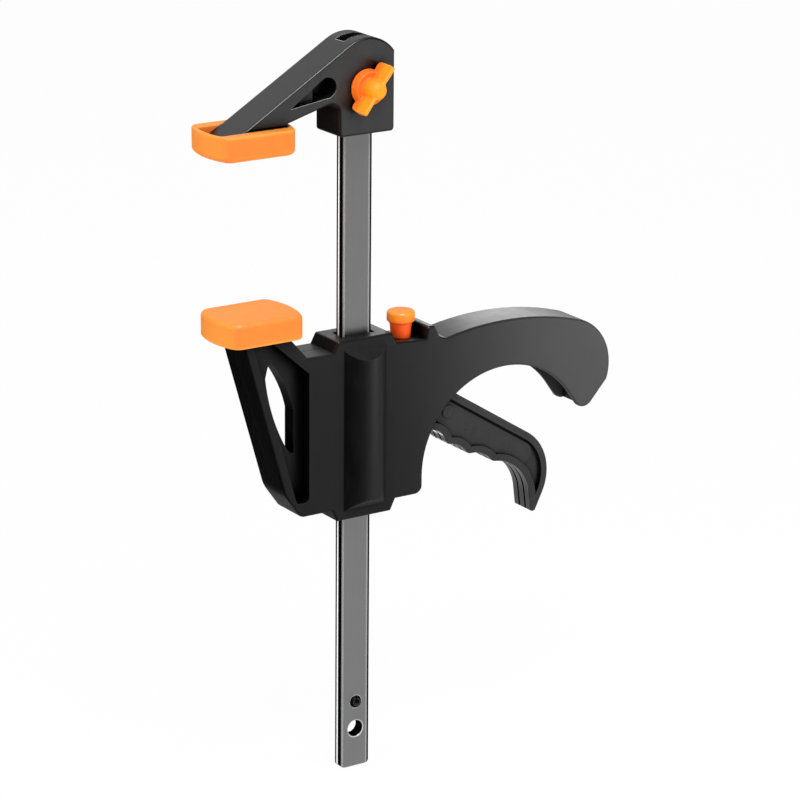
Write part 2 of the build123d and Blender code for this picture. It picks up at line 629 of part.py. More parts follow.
def jaw_recess():
    """The sunk panel between the arm's flange, the gusset and the casing's column."""
    top, low = arm_inner_line()
    slope = (top[0] - low[0]) / (top[1] - low[1])
    floor = CASING_FOOT + SOLE_THICKNESS
    floor_left = low[0] + slope * (floor - low[1])
    outline = make_face(Polyline(
        top,
        (GUSSET_UNDER_TOP, top[1]),
        (COLUMN_LEFT, GUSSET_UNDER_LOW),
        (COLUMN_LEFT, floor),
        (floor_left, floor),
        top,
    ))
    corners = outline.vertices().sort_by(Axis.Y)
    return fillet(corners[:2], JAW_RECESS_CORNER)


def web_hole():
    """The long rounded opening through the movable jaw's web."""
    low_right = (WEB_HOLE_BEND[0], WEB_HOLE_LOW[1])
    outline = make_face([
        SagittaArc(WEB_HOLE_TOP, WEB_HOLE_BEND, WEB_HOLE_INNER_BOW),
        Polyline(WEB_HOLE_BEND, low_right, WEB_HOLE_LOW),
        SagittaArc(WEB_HOLE_LOW, WEB_HOLE_SHOULDER, WEB_HOLE_OUTER_BOW),
        Line(WEB_HOLE_SHOULDER, WEB_HOLE_TOP),
    ])
    rounds = (
        (WEB_HOLE_LOW, WEB_HOLE_LOW_ROUND),
        (low_right, WEB_HOLE_LOW_ROUND),
        (WEB_HOLE_TOP, WEB_HOLE_TOP_ROUND),
    )
    for place, radius in rounds:
        corner = outline.vertices().sort_by_distance((*place, 0))[0]
        outline = fillet(corner, radius)
    return outline


def mechanism_space():
    """Side view of the hollow that holds the plates, the trigger's head and the brake."""
    inside = offset(casing_outline(True), -WALL)
    left = PLATE_LEFT - MOVING_GAP
    travel_floor = WASHER_TOP - WASHER_THICKNESS - PLATE_TRAVEL_ROOM
    ledge = BRAKE_FULCRUM[1] + SEAT_GAP
    right = TAIL_CENTRE[0] + TAIL_RADIUS
    below = CASING_BOTTOM - 3 * WALL
    window = make_face(Polyline(
        (left, travel_floor),
        (left, ledge),
        (BRAKE_FULCRUM[0] + BRAKE_TAIL / 2, ledge),
        (BRAKE_FULCRUM[0] + BRAKE_TAIL / 2, CASING_TOP),
        (right, CASING_TOP),
        (right, below),
        (COLUMN_RIGHT + FIXED_GAP, below),
        (COLUMN_RIGHT + FIXED_GAP, travel_floor - (COLUMN_RIGHT - PLATE_RIGHT)),
        (PLATE_RIGHT, travel_floor),
        (left, travel_floor),
    ))
    return inside & window


def screw_bosses():
    """Round columns inside the handle for the two casing screws that pass through it."""
    radius = CASING_SCREW_HEAD_RADIUS + MOVING_GAP + SCREW_BOSS_WALL
    columns = [cross_pin(x, z, radius, -CAVITY_HALF_WIDTH, CAVITY_HALF_WIDTH)
               for x, z in CASING_SCREWS if x > COLUMN_RIGHT]
    return columns


def button_hole():
    """The stem's hole in the notch floor, wider below where the button's collar moves."""
    ceiling = NOTCH_FLOOR - BUTTON_WALL
    collar_room = button_bottom() - BUTTON_COLLAR_THICKNESS
    stem_radius = BUTTON_STEM_RADIUS + MOVING_GAP
    stem_hole = upright(stem_radius, collar_room, CASING_TOP)
    collar_hole = upright(BUTTON_COLLAR_RADIUS + MOVING_GAP, collar_room, ceiling)
    return Pos(BUTTON_X, 0, 0) * (stem_hole + collar_hole)


def make_casing():
    outline = round_outline(casing_outline(False))
    casing = side_plate(outline, HALF_THICKNESS)
    sides = casing.faces().filter_by(Axis.Y)
    casing = fillet([edge for face in sides for edge in face.edges()], EDGE_ROUND)
    casing += bulge()
    seam = side_plate(outline - offset(outline, -SEAM_DEPTH), SEAM_WIDTH / 2)
    jaw_side = block(ARM_TOP, -BLOCK_HALF_WIDTH, -SEAM_WIDTH, SEAM_WIDTH, CASING_BOTTOM, MOVABLE_PAD_FACE)
    casing -= seam & jaw_side
    for side in (-1, 1):
        depth = HALF_THICKNESS - WEB_HALF_THICKNESS
        casing -= Pos(0, side * HALF_THICKNESS, 0) * side_plate(jaw_recess(), depth)
    casing -= side_plate(web_hole(), HALF_THICKNESS)
    casing += jaw_foot(MOVABLE_PAD_CENTRE, MOVABLE_PAD_FACE, 1)
    casing -= side_plate(mechanism_space(), CAVITY_HALF_WIDTH)
    for column in screw_bosses():
        casing += column
    well_radius = WASHER_RADIUS + MOVING_GAP
    casing -= upright(well_radius, SPRING_SEAT - SEAT_GAP, PLATE_TOP - SEAT_GAP)
    casing += block(BRAKE_RIB_LEFT, BRAKE_RIB_RIGHT, -CAVITY_HALF_WIDTH, CAVITY_HALF_WIDTH,
                    BRAKE_RIB_TOP - BRAKE_RIB_THICKNESS, BRAKE_RIB_TOP)
    for side in (-1, 1):
        casing += cross_pin(*PIVOT, CASING_BOSS_RADIUS, side * (TRIGGER_HUB_HALF_WIDTH + PLATE_GAP),
                            side * (CAVITY_HALF_WIDTH + TRIGGER_PIN_SEAT / 2))
    pin_hole = CAVITY_HALF_WIDTH + TRIGGER_PIN_SEAT + SEAT_GAP
    casing -= cross_pin(*PIVOT, TRIGGER_PIN_RADIUS + FIXED_GAP, -pin_hole, pin_hole)
    casing -= bar_slot(GUIDE_GAP, CASING_BOTTOM - CUT_PAST, CASING_TOP + CUT_PAST)
    casing -= bar_slot(TOP_COUNTERBORE_GAP, CASING_TOP - TOP_COUNTERBORE, CASING_TOP + CUT_PAST)
    casing -= button_hole()
    for x, z in CASING_SCREWS:
        seat = HALF_THICKNESS - CASING_SCREW_SINK
        tip = seat - CASING_SCREW_LENGTH - CASING_SCREW_TIP_GAP
        casing -= cross_pin(x, z, CASING_SCREW_RADIUS + FIXED_GAP, tip, seat)
        casing -= cross_pin(x, z, CASING_SCREW_HEAD_RADIUS + MOVING_GAP, seat, HALF_THICKNESS + CUT_PAST)
    return casing


def half_of(casing, side):
    """The half shell on one side of the centre plane."""
    box = casing.bounding_box()
    low, high = (box.min.Y, 0) if side < 0 else (0, box.max.Y)
    return casing & block(box.min.X, box.max.X, low, high, box.min.Z, box.max.Z)


def make_casing_screws():
    seat = HALF_THICKNESS - CASING_SCREW_SINK
    screws = []
    for x, z in CASING_SCREWS:
        head = cross_pin(x, z, CASING_SCREW_HEAD_RADIUS, seat, seat + CASING_SCREW_HEAD)
        head = fillet(head.edges().sort_by(Axis.Y)[-1], CASING_SCREW_HEAD_ROUND)
        shank = cross_pin(x, z, CASING_SCREW_RADIUS, seat - CASING_SCREW_LENGTH, seat)
        screw = head + shank
        slot_floor = seat + CASING_SCREW_HEAD - DRIVE_SLOT_DEPTH
        narrow, wide = DRIVE_SLOT_HALF_WIDTH, DRIVE_SLOT_REACH
        for half_x, half_z in ((narrow, wide), (wide, narrow)):
            screw -= block(x - half_x, x + half_x, slot_floor, HALF_THICKNESS, z - half_z, z + half_z)
        screws.append(screw)
    return Compound(children=[screw.solids()[0] for screw in screws])


# ---------------------------------------------------------------- trigger
def trigger_outline():
    """Side view of the squeeze lever, with its finger hollows and its hooked end."""
    top_end = shifted(PIVOT, TRIGGER_TOP_END)
    neck = along(top_end, 180 - TRIGGER_LEAN, TRIGGER_NECK)
    from_pivot = (neck[0] - PIVOT[0], neck[1] - PIVOT[1])
    neck_angle = degrees(atan2(from_pivot[1], from_pivot[0]))
    touch_angle = neck_angle + degrees(acos(TRIGGER_HEAD_RADIUS / hypot(*from_pivot)))
    shoulder = on_circle(PIVOT, TRIGGER_HEAD_RADIUS, touch_angle)
    tip = [shifted(PIVOT, point) for point in TRIGGER_TIP]
    ridges = [shifted(PIVOT, point) for point in FINGER_RIDGES]
    head_low, head_lower_left, head_back, head_top = (
        on_circle(PIVOT, TRIGGER_HEAD_RADIUS, angle) for angle in TRIGGER_HEAD_ANGLES)
    contact = PLATE_TOP + SEAT_GAP
    nose_x = PIVOT[0] - NOSE_REACH
    head_left = PIVOT[0] - sqrt(TRIGGER_HEAD_RADIUS ** 2 - (contact - PIVOT[1]) ** 2)
    nose_top = contact + 2 * NOSE_RADIUS
    edges = [
        ThreePointArc(top_end, shifted(PIVOT, TRIGGER_TAIL), tip[0]),
        Polyline(*tip),
        ThreePointArc(tip[-1], shifted(PIVOT, TRIGGER_HOOK), ridges[0]),
        *[SagittaArc(start, end, -FINGER_HOLLOW) for start, end in zip(ridges, ridges[1:])],
        Line(ridges[-1], head_low),
        ThreePointArc(head_low, head_lower_left, (head_left, contact)),
        Line((head_left, contact), (nose_x, contact)),
        ThreePointArc((nose_x, contact), (nose_x - NOSE_RADIUS, contact + NOSE_RADIUS), (nose_x, nose_top)),
        Line((nose_x, nose_top), head_back),
        ThreePointArc(head_back, head_top, shoulder),
        Polyline(shoulder, neck, top_end),
    ]
    face = make_face(edges)
    rounds = [(ridge, FINGER_RIDGE_ROUND) for ridge in ridges[:-1]]
    rounds += [(point, radius) for point, radius in zip(tip[1:], TRIGGER_TIP_ROUNDS)]
    rounds.append((top_end, TRIGGER_END_ROUND))
    for place, radius in rounds:
        corner = face.vertices().sort_by_distance((*place, 0))[0]
        face = fillet(corner, radius)
    return face


def make_trigger():
    outline = trigger_outline()
    lever = side_plate(outline, TRIGGER_HALF_WIDTH)
    sides = lever.faces().filter_by(Axis.Y)
    lever = fillet([edge for face in sides for edge in face.edges()], TRIGGER_EDGE_ROUND)
    length = hypot(*TRIGGER_TIP[0])
    grip_middle = (PIVOT[0] + TRIGGER_PANEL_START + length / 2, PIVOT[1])
    grip_zone = Pos(*grip_middle) * Rectangle(length, 2 * length)
    panel = offset(outline, -TRIGGER_RIM) & grip_zone
    plateau_end = shifted(PIVOT, TRIGGER_PLATEAU_END)
    middle = along(plateau_end, 180 - TRIGGER_LEAN, TRIGGER_PLATEAU_LENGTH / 2)
    slot = SlotCenterToCenter(TRIGGER_PLATEAU_LENGTH, 2 * TRIGGER_PLATEAU_RADIUS)
    below = Pos(0, -TRIGGER_PLATEAU_RADIUS) * Rectangle(TRIGGER_PLATEAU_LENGTH, 2 * TRIGGER_PLATEAU_RADIUS)
    plateau = Pos(*middle) * (Rot(0, 0, -TRIGGER_LEAN) * (slot + below))
    dot = Pos(*shifted(PIVOT, TRIGGER_DOT_PLACE)) * Circle(TRIGGER_DOT_RADIUS)
    skin = (outline - offset(outline, -GRIP_GROOVE_DEPTH)) & grip_zone
    for side in (-1, 1):
        lever -= Pos(0, side * TRIGGER_HALF_WIDTH, 0) * side_plate(panel, TRIGGER_RECESS)
        for shape, height in ((plateau & panel, TRIGGER_PLATEAU), (dot & panel, TRIGGER_DOT)):
            level = TRIGGER_HALF_WIDTH - TRIGGER_RECESS + height / 2
            lever += Pos(0, side * level, 0) * side_plate(shape, height / 2)
        lever -= Pos(0, side * GRIP_GROOVE_PLACE, 0) * side_plate(skin, GRIP_GROOVE_WIDTH / 2)
        lever -= cross_pin(*PIVOT, CASING_BOSS_RADIUS + MOVING_GAP, side * TRIGGER_HUB_HALF_WIDTH,
                           side * (TRIGGER_HALF_WIDTH + CUT_PAST))
    reach = TRIGGER_HALF_WIDTH + CUT_PAST
    return lever - cross_pin(*PIVOT, TRIGGER_PIN_RADIUS + RUNNING_GAP, -reach, reach)


def make_trigger_pin():
    reach = CAVITY_HALF_WIDTH + TRIGGER_PIN_SEAT
    return cross_pin(*PIVOT, TRIGGER_PIN_RADIUS, -reach, reach)


# ---------------------------------------------------------------- drive plates and spring
def make_drive_plate(top):
    plate = block(PLATE_LEFT, PLATE_RIGHT, -PLATE_HALF_WIDTH, PLATE_HALF_WIDTH, top - PLATE_THICKNESS, top)
    plate = fillet(plate.edges().filter_by(Axis.Z), PLATE_CORNER)
    return plate - bar_slot(PLATE_GAP, top - PLATE_THICKNESS, top)


def make_washer():
    low = WASHER_TOP - WASHER_THICKNESS
    return upright(WASHER_RADIUS, low, WASHER_TOP) - bar_slot(PLATE_GAP, low, WASHER_TOP)


def make_drive_spring():
    top = WASHER_TOP - WASHER_THICKNESS - SEAT_GAP
    return coil(SPRING_MEAN_RADIUS, SPRING_WIRE_RADIUS, SPRING_TURNS, SPRING_SEAT, top)


# ---------------------------------------------------------------- brake and button
def make_brake_plate():
    flat = block(-BRAKE_TAIL, BRAKE_LENGTH, -PLATE_HALF_WIDTH, PLATE_HALF_WIDTH, -BRAKE_THICKNESS, 0)
    flat = fillet(flat.edges().filter_by(Axis.Z), PLATE_CORNER)
    sideways = BRAKE_THICKNESS / 2 * sin(radians(BRAKE_TILT))
    centre = (-BRAKE_FULCRUM[0] - sideways) / cos(radians(BRAKE_TILT))
    slot = Pos(centre, 0, 0) * bar_slot(PLATE_GAP, -BRAKE_THICKNESS, 0)
    tilted = Rot(0, -BRAKE_TILT, 0) * (flat - slot)
    return Pos(BRAKE_FULCRUM[0], 0, BRAKE_FULCRUM[1]) * tilted


def brake_top_at(x):
    """Height of the brake plate's upper face above a point of the X axis."""
    return BRAKE_FULCRUM[1] + (x - BRAKE_FULCRUM[0]) * sin(radians(BRAKE_TILT)) / cos(radians(BRAKE_TILT))


def make_brake_spring():
    under = BUTTON_X - BRAKE_SPRING_RADIUS - BRAKE_SPRING_WIRE
    top = brake_top_at(under) - BRAKE_THICKNESS / cos(radians(BRAKE_TILT)) - SEAT_GAP
    spring = coil(BRAKE_SPRING_RADIUS, BRAKE_SPRING_WIRE, BRAKE_SPRING_TURNS, BRAKE_RIB_TOP, top)
    return Pos(BUTTON_X, 0, 0) * spring


def button_bottom():
    """Height of the button's underside, just clear of the brake plate's high end."""
    return brake_top_at(BUTTON_X + BUTTON_COLLAR_RADIUS) + SEAT_GAP


def make_button():
    bottom = button_bottom()
    head_low = BUTTON_TOP - BUTTON_HEAD_HEIGHT
    profile = Polyline(
        (0, bottom),
        (BUTTON_COLLAR_RADIUS, bottom),
        (BUTTON_COLLAR_RADIUS, bottom + BUTTON_COLLAR_THICKNESS),
        (BUTTON_STEM_LOW_RADIUS, bottom + BUTTON_COLLAR_THICKNESS),
        (BUTTON_STEM_RADIUS, head_low - BUTTON_NECK_SLOPE),
        (BUTTON_HEAD_RADIUS, head_low),
        (BUTTON_HEAD_RADIUS, BUTTON_TOP),
        (0, BUTTON_TOP),
        (0, bottom),
    )
    button = revolve(Plane.XZ * make_face(profile), axis=Axis.Z)
    button = fillet(button.edges().sort_by(Axis.Z)[-1], BUTTON_HEAD_ROUND)
    return Pos(BUTTON_X, 0, 0) * button


# ---------------------------------------------------------------- the assembly
def main():
    os.makedirs("parts", exist_ok=True)
    save("bar", make_bar())
    save("bar_stop_pin", make_stop_pin())
    save("fixed_jaw", make_fixed_jaw())
    save("fixed_jaw_pad", pad(FIXED_PAD_CENTRE, FIXED_PAD_FACE, -1))
    save("wing_screw_nut", make_nut())
    save("wing_screw_head", make_wing_head())
    save("wing_screw_stud", make_stud())
    casing = make_casing()
    save("casing_front", half_of(casing, -1))
    save("casing_back", half_of(casing, 1))
    save("casing_screws", make_casing_screws())
    save("movable_jaw_pad", pad(MOVABLE_PAD_CENTRE, MOVABLE_PAD_FACE, 1))
    save("trigger", make_trigger())
    save("trigger_pin", make_trigger_pin())
    save("drive_plate_upper", make_drive_plate(PLATE_TOP))
    save("drive_plate_lower", make_drive_plate(PLATE_TOP - PLATE_THICKNESS))
    save("drive_washer", make_washer())
    save("drive_spring", make_drive_spring())
    save("brake_plate", make_brake_plate())
    save("brake_spring", make_brake_spring())
    save("release_button", make_button())


main()
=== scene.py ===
# %% [markdown]
# # A quick release bar clamp
# A one-handed bar clamp has a flat steel bar with a fixed jaw at its top, and a black nylon
# body with a jaw, a handle and a squeeze trigger that slides along it. Two orange rubber caps
# hold the work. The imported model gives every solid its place; this script gives each its looks.

# %% Load the fixed frame
import math

import bmesh
import bpy
from mathutils import Matrix, Vector


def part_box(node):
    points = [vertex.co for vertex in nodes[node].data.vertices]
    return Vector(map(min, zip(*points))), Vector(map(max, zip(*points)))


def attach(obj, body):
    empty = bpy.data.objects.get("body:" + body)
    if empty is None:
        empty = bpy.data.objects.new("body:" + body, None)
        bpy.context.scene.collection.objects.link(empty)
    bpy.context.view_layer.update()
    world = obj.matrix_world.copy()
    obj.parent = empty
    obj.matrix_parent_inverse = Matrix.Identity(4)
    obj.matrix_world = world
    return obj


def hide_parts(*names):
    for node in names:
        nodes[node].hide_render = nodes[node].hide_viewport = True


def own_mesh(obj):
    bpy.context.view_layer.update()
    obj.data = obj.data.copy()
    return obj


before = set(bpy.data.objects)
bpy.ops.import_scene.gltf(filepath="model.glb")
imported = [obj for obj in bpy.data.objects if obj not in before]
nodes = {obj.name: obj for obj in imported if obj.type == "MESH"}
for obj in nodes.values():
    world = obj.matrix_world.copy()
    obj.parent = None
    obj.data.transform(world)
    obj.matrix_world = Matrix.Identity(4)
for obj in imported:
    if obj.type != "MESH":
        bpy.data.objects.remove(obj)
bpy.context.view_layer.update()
MM = 0.001


def in_mm(lengths):
    """Lengths in millimetres, rounded for printing."""
    return [round(length / MM, 1) for length in lengths]


# %% [markdown]
# ## The camera
# The clamp is seen from its front left and a little above, from about 1.2 m away through a
# long lens, which keeps its upright lines nearly parallel. The camera is turned half a degree
# about its own axis.

# %% Camera
CAMERA_TURN = math.radians(33.243)
CAMERA_DROP = math.radians(17.681)
CAMERA_ROLL = math.radians(0.5165)
CAMERA_PLACE = Vector((-0.61661, -0.97142, 0.50846))
LENS_MM = 151.34
SENSOR_MM = 36.0
CLIP_NEAR = 0.05
CLIP_FAR = 50


def place_camera():
    """Adds the camera and turns it to look along the given angles."""
    turn_sine = math.sin(CAMERA_TURN)
    turn_cosine = math.cos(CAMERA_TURN)
    level = math.cos(CAMERA_DROP)
    ahead = Vector((turn_sine * level, turn_cosine * level, -math.sin(CAMERA_DROP)))
    flat_right = Vector((turn_cosine, -turn_sine, 0))
    flat_up = flat_right.cross(ahead)
    right = math.cos(CAMERA_ROLL) * flat_right + math.sin(CAMERA_ROLL) * flat_up
    up = -math.sin(CAMERA_ROLL) * flat_right + math.cos(CAMERA_ROLL) * flat_up
    camera = bpy.data.objects.new("camera", bpy.data.cameras.new("camera"))
    bpy.context.scene.collection.objects.link(camera)
    turn = Matrix((right, up, -ahead)).transposed().to_4x4()
    camera.matrix_world = Matrix.Translation(CAMERA_PLACE) @ turn
    camera.data.lens = LENS_MM
    camera.data.sensor_width = SENSOR_MM
    camera.data.clip_start = CLIP_NEAR
    camera.data.clip_end = CLIP_FAR
    camera.data.dof.use_dof = False
    bpy.context.scene.camera = camera


place_camera()
print("camera looks down", round(math.degrees(CAMERA_DROP), 1), "degrees")

# %% [markdown]
# ## Helpers for materials
# Colours are written as the hex values that a picker shows, so one function turns them into
# the linear numbers that Blender works in. Another adds a shader node: names in lower case are
# the node's own settings, names with a capital are its inputs, and values without a name fill
# its inputs in order. A node that is given as a value is linked by its first output.

# %% Colour and node helpers
def linear(hex_colour):
    """A hex sRGB colour as linear RGBA."""
    channels = [int(hex_colour[i:i + 2], 16) / 255 for i in (1, 3, 5)]
    return tuple(c / 12.92 if c <= 0.04045 else ((c + 0.055) / 1.055) ** 2.4 for c in channels) + (1.0,)


def fill(tree, node, *values, **named):
    """Sets or links a node's inputs: values in the inputs' order, the rest by name."""
    in_use = [socket for socket in node.inputs if socket.enabled]
    pairs = list(zip(in_use, values))
    pairs += [(node.inputs[name.replace("_", " ")], value) for name, value in named.items()]
    for socket, value in pairs:
        if isinstance(value, bpy.types.Node):
            value = next(output for output in value.outputs if output.enabled)
        if isinstance(value, bpy.types.NodeSocket):
            tree.links.new(value, socket)
        else:
            socket.default_value = value


def add(tree, kind, *values, stops=(), **named):
    """Adds a node with its settings and links; stops are a ramp's places and hex colours."""
    node = tree.nodes.new("ShaderNode" + kind)
    for name in [name for name in named if name[0].islower()]:
        setattr(node, name, named.pop(name))
    if stops:
        points = node.color_ramp.elements
        while len(points) < len(stops):
            points.new(0.5)
        for point, (place, colour) in zip(points, stops):
            point.position = place
            point.color = linear(colour)
    fill(tree, node, *values, **named)
    return node


print("node helpers ready")

# %% [markdown]
# Every finish below uses a few patterns: coordinates in millimetres, so that a grain's size can be written
# as it is measured, two patterns weighed together, and masks for edges and corners: edges, where real parts
# wear and where highlights are painted, and corners, where shade is painted.

# %% Patterns that the finishes share
BEVEL_SAMPLES = 4
AIR_SAMPLES = 6
# Nearly all of a noise lies between these two values, and most of it between the next two.
NOISE_LOW = 0.3
NOISE_HIGH = 0.7
CLOUD_LOW = 0.35
CLOUD_HIGH = 0.65
FULL_SPECULAR = 0.5


def bare_material(name):
    """A material whose node tree is empty."""
    material = bpy.data.materials.new(name)
    material.use_nodes = True
    material.node_tree.nodes.clear()
    return material, material.node_tree


def new_material(name):
    """A material with only its Principled shader, ready for inputs."""
    material, tree = bare_material(name)
    shader = add(tree, "BsdfPrincipled")
    add(tree, "OutputMaterial", Surface=shader)
    return material, tree, shader


def millimetres(tree, stretch=(1, 1, 1)):
    """The object's own coordinates, where 1 is 1 mm; a pattern is long where stretch is small."""
    place = add(tree, "TexCoord").outputs["Object"]
    return add(tree, "Mapping", place, Scale=[factor / MM for factor in stretch])


def weighed(tree, first, share, second):
    """Two patterns added, the first by its share and the second by the rest."""
    parts = [add(tree, "Math", pattern, weight, operation="MULTIPLY")
             for pattern, weight in ((first, share), (second, 1 - share))]
    return add(tree, "Math", *parts, operation="ADD")


def edge_mask(tree, radius_mm, low, high):
    """1 on edges and 0 on open faces, from how far a bevel turns the normal."""
    rounded = add(tree, "Bevel", radius_mm * MM, samples=BEVEL_SAMPLES)
    plain = add(tree, "NewGeometry").outputs["Normal"]
    same = add(tree, "VectorMath", rounded, plain, operation="DOT_PRODUCT")
    turned = add(tree, "Math", 1.0, same, operation="SUBTRACT")
    return add(tree, "MapRange", turned, low, high)


def open_air(tree, reach_mm, low, high):
    """1 on open faces and 0 deep in corners, from how much of the air round a point is free."""
    free = add(tree, "AmbientOcclusion", Distance=reach_mm * MM, samples=AIR_SAMPLES).outputs["AO"]
    return add(tree, "MapRange", free, low, high)


print("patterns ready")

# %% [markdown]
# ## Black glass-filled nylon
# The jaws, casing and trigger are nylon 6 with glass fibre, injection moulded in a spark-eroded tool. The
# tool leaves a fine satin grain of about 0.1 mm, drawn here at 0.3 mm so that it shows, with pores between.
# The fibres leave faint clouds and upright flow marks. Edges that hands rub turn grey and smooth.
# Upward-facing edges are painted paler as a painted highlight, and corners and recesses are painted near
# black as painted shade, which also dims their reflection. All this could be painted as pictures, but
# patterns in millimetres need no unwrapping, fit every piece alike and stay sharp from near by.

# %% Nylon
NYLON_IOR = 1.53
CLOUD_MM = 14
FLOW_MM = 2.5
FLOW_STRETCH = (1, 1, 0.25)
WEAR_PATCH_MM = 5
SATIN_MM = 0.3
PORE_MM = 0.45
CLOUD_SHARE = 0.6
SATIN_SHARE = 0.7
# Each pair says from what value a mask begins to show and at what value it is full.
RUBBED_EDGE_MM = 0.5
RUBBED_TURN = (0.02, 0.25)
# Width and turn of the painted highlight on upward-facing edges.
HIGHLIGHT_EDGE_MM = 0.3
HIGHLIGHT_TURN = (0.03, 0.15)
LOOKING_UP = (0.2, 0.45)
# Reach and range of the painted shade in corners and recesses.
SHADE_REACH_MM = 6
UNSHADED_AIR = (0.45, 0.92)
# Grey of rubbed edges, and the default colour of the painted edge highlight.
RUBBED_AND_HIGHLIGHT_GREY = "#303032"
RUBBED_POLISH = 0.12
# The black of the painted shade.
PAINTED_SHADE_BLACK = "#030303"
print("nylon grain drawn at", SATIN_MM, "mm, clouds at", CLOUD_MM, "mm")


def nylon(name, dark, light, rough=(0.32, 0.42), grain_depth=0.012, light_gradient=None, edge_highlight=RUBBED_AND_HIGHLIGHT_GREY):
    """Moulded black nylon, clouded from dark to light, with painted shade in corners and a painted
    highlight on upward-facing edges.

    light_gradient is where along X a painted light gradient begins and is full, and its grey.
    edge_highlight is the colour painted on the upward-facing edges as a highlight.
    """
    material, tree, shader = new_material(name)
    place = millimetres(tree)
    clouds = add(tree, "TexNoise", place, Scale=1 / CLOUD_MM, Detail=3)
    flow_place = millimetres(tree, FLOW_STRETCH)
    flow = add(tree, "TexNoise", flow_place, Scale=1 / FLOW_MM, Detail=4, Roughness=0.6)
    mixed = weighed(tree, clouds, CLOUD_SHARE, flow)
    colour = add(tree, "ValToRGB", mixed, stops=((CLOUD_LOW, dark), (CLOUD_HIGH, light)))
    # Painted light: the colour is painted lighter grey along X, towards the handle's end.
    if light_gradient:
        start, end, grey = light_gradient
        along = add(tree, "SeparateXYZ", place).outputs["X"]
        lit_share = add(tree, "MapRange", along, start, end, interpolation_type="SMOOTHSTEP")
        colour = add(tree, "Mix", lit_share, colour, linear(grey), data_type="RGBA")

    patches = add(tree, "TexNoise", place, Scale=1 / WEAR_PATCH_MM)
    rubbed = edge_mask(tree, RUBBED_EDGE_MM, *RUBBED_TURN)
    wear = add(tree, "Math", rubbed, patches, operation="MULTIPLY")
    worn_and_highlit = add(tree, "Mix", wear, colour, linear(RUBBED_AND_HIGHLIGHT_GREY), data_type="RGBA")
    # Painted highlight: upward-facing edges are painted a paler colour.
    rounded = add(tree, "Bevel", HIGHLIGHT_EDGE_MM * MM, samples=BEVEL_SAMPLES)
    upward = add(tree, "MapRange", add(tree, "SeparateXYZ", rounded).outputs["Z"], *LOOKING_UP)
    upper_edge = edge_mask(tree, HIGHLIGHT_EDGE_MM, *HIGHLIGHT_TURN)
    edge_highlight_mask = add(tree, "Math", upward, upper_edge, operation="MULTIPLY")
    worn_and_highlit = add(tree, "Mix", edge_highlight_mask, worn_and_highlit, linear(edge_highlight), data_type="RGBA")
    # Painted shade: corners and recesses are painted near black.
    unshaded = open_air(tree, SHADE_REACH_MM, *UNSHADED_AIR)
    shaded = add(tree, "Mix", unshaded, linear(PAINTED_SHADE_BLACK), worn_and_highlit, data_type="RGBA")

    satin = add(tree, "TexNoise", place, Scale=1 / SATIN_MM, Roughness=0.6)
    pores = add(tree, "TexVoronoi", place, Scale=1 / PORE_MM)
    relief = add(tree, "Bump", 1.0, grain_depth * MM, Height=weighed(tree, satin, SATIN_SHARE, pores))
    uneven = add(tree, "MapRange", mixed, NOISE_LOW, NOISE_HIGH, *rough)
    polish = add(tree, "Math", wear, RUBBED_POLISH, operation="MULTIPLY")
    smoothed = add(tree, "Math", uneven, polish, operation="SUBTRACT", use_clamp=True)
    # The painted shade also dims the reflection in corners and recesses.
    gleam = add(tree, "Math", unshaded, FULL_SPECULAR, operation="MULTIPLY")
    fill(tree, shader, Base_Color=shaded, Roughness=smoothed, IOR=NYLON_IOR,
         Specular_IOR_Level=gleam, Normal=relief)
    return material, tree, shader


# %% [markdown]
# The casing is the blackest, and its handle is painted a lighter grey towards its end, as painted light.
# The fixed jaw's nylon is painted a lighter black as painted light for its brighter place at the top, and
# its upward-facing edges carry a near-white painted highlight. The trigger's finger side is polished by
# use: a clear coat on the faces that look down at the fingers gives that gloss.

# %% Nylon finishes
FINGERS_FACE = (-0.64, 0.0, -0.77)
FACING_FINGERS = (0.3, 0.6)
FINGER_GLOSS_IOR = 1.8
FINGER_GLOSS_ROUGHNESS = 0.12
# Where along X in mm the painted light gradient begins and is full, and its grey.
PAINTED_LIGHT_GRADIENT = (10, 100, "#39393a")


def finger_polished_nylon():
    """The trigger's nylon, with a gloss on the side that the fingers pull."""
    material, tree, shader = nylon("finger_polished_black_nylon", "#202021", "#272728", (0.24, 0.34), 0.010)
    normal = add(tree, "TexCoord").outputs["Normal"]
    towards_fingers = add(tree, "VectorMath", normal, FINGERS_FACE, operation="DOT_PRODUCT")
    polished = add(tree, "MapRange", towards_fingers, *FACING_FINGERS)
    fill(tree, shader, Coat_Weight=polished, Coat_Roughness=FINGER_GLOSS_ROUGHNESS,
         Coat_IOR=FINGER_GLOSS_IOR)
    return material


# The casing's handle end is painted lighter as painted light.
casing_nylon = nylon("satin_black_nylon", "#040405", "#0a0a0b", light_gradient=PAINTED_LIGHT_GRADIENT)[0]
# The fixed jaw's lighter black and its near-white upper edges are painted light.
jaw_nylon = nylon("lit_black_nylon", "#0e0e0f", "#161617", edge_highlight="#dcdcde")[0]
trigger_nylon = finger_polished_nylon()
print("nylon:", casing_nylon.name, jaw_nylon.name, trigger_nylon.name)

# %% [markdown]
# ## Orange rubber and orange ABS
# The pads are a moulded thermoplastic rubber with a dull skin. Light goes a little way into it. Their edges
# are painted paler and yellower as a painted highlight, and faces turned left, back and up are painted
# paler as painted light. The wing screw's head and the button are moulded ABS, harder and finer in grain,
# with the same painted edge highlight; the button also has the painted side light. The real grain is about
# 0.1 mm in both, and is drawn at 0.4 mm on the rubber and 0.35 mm on the ABS so that it shows.

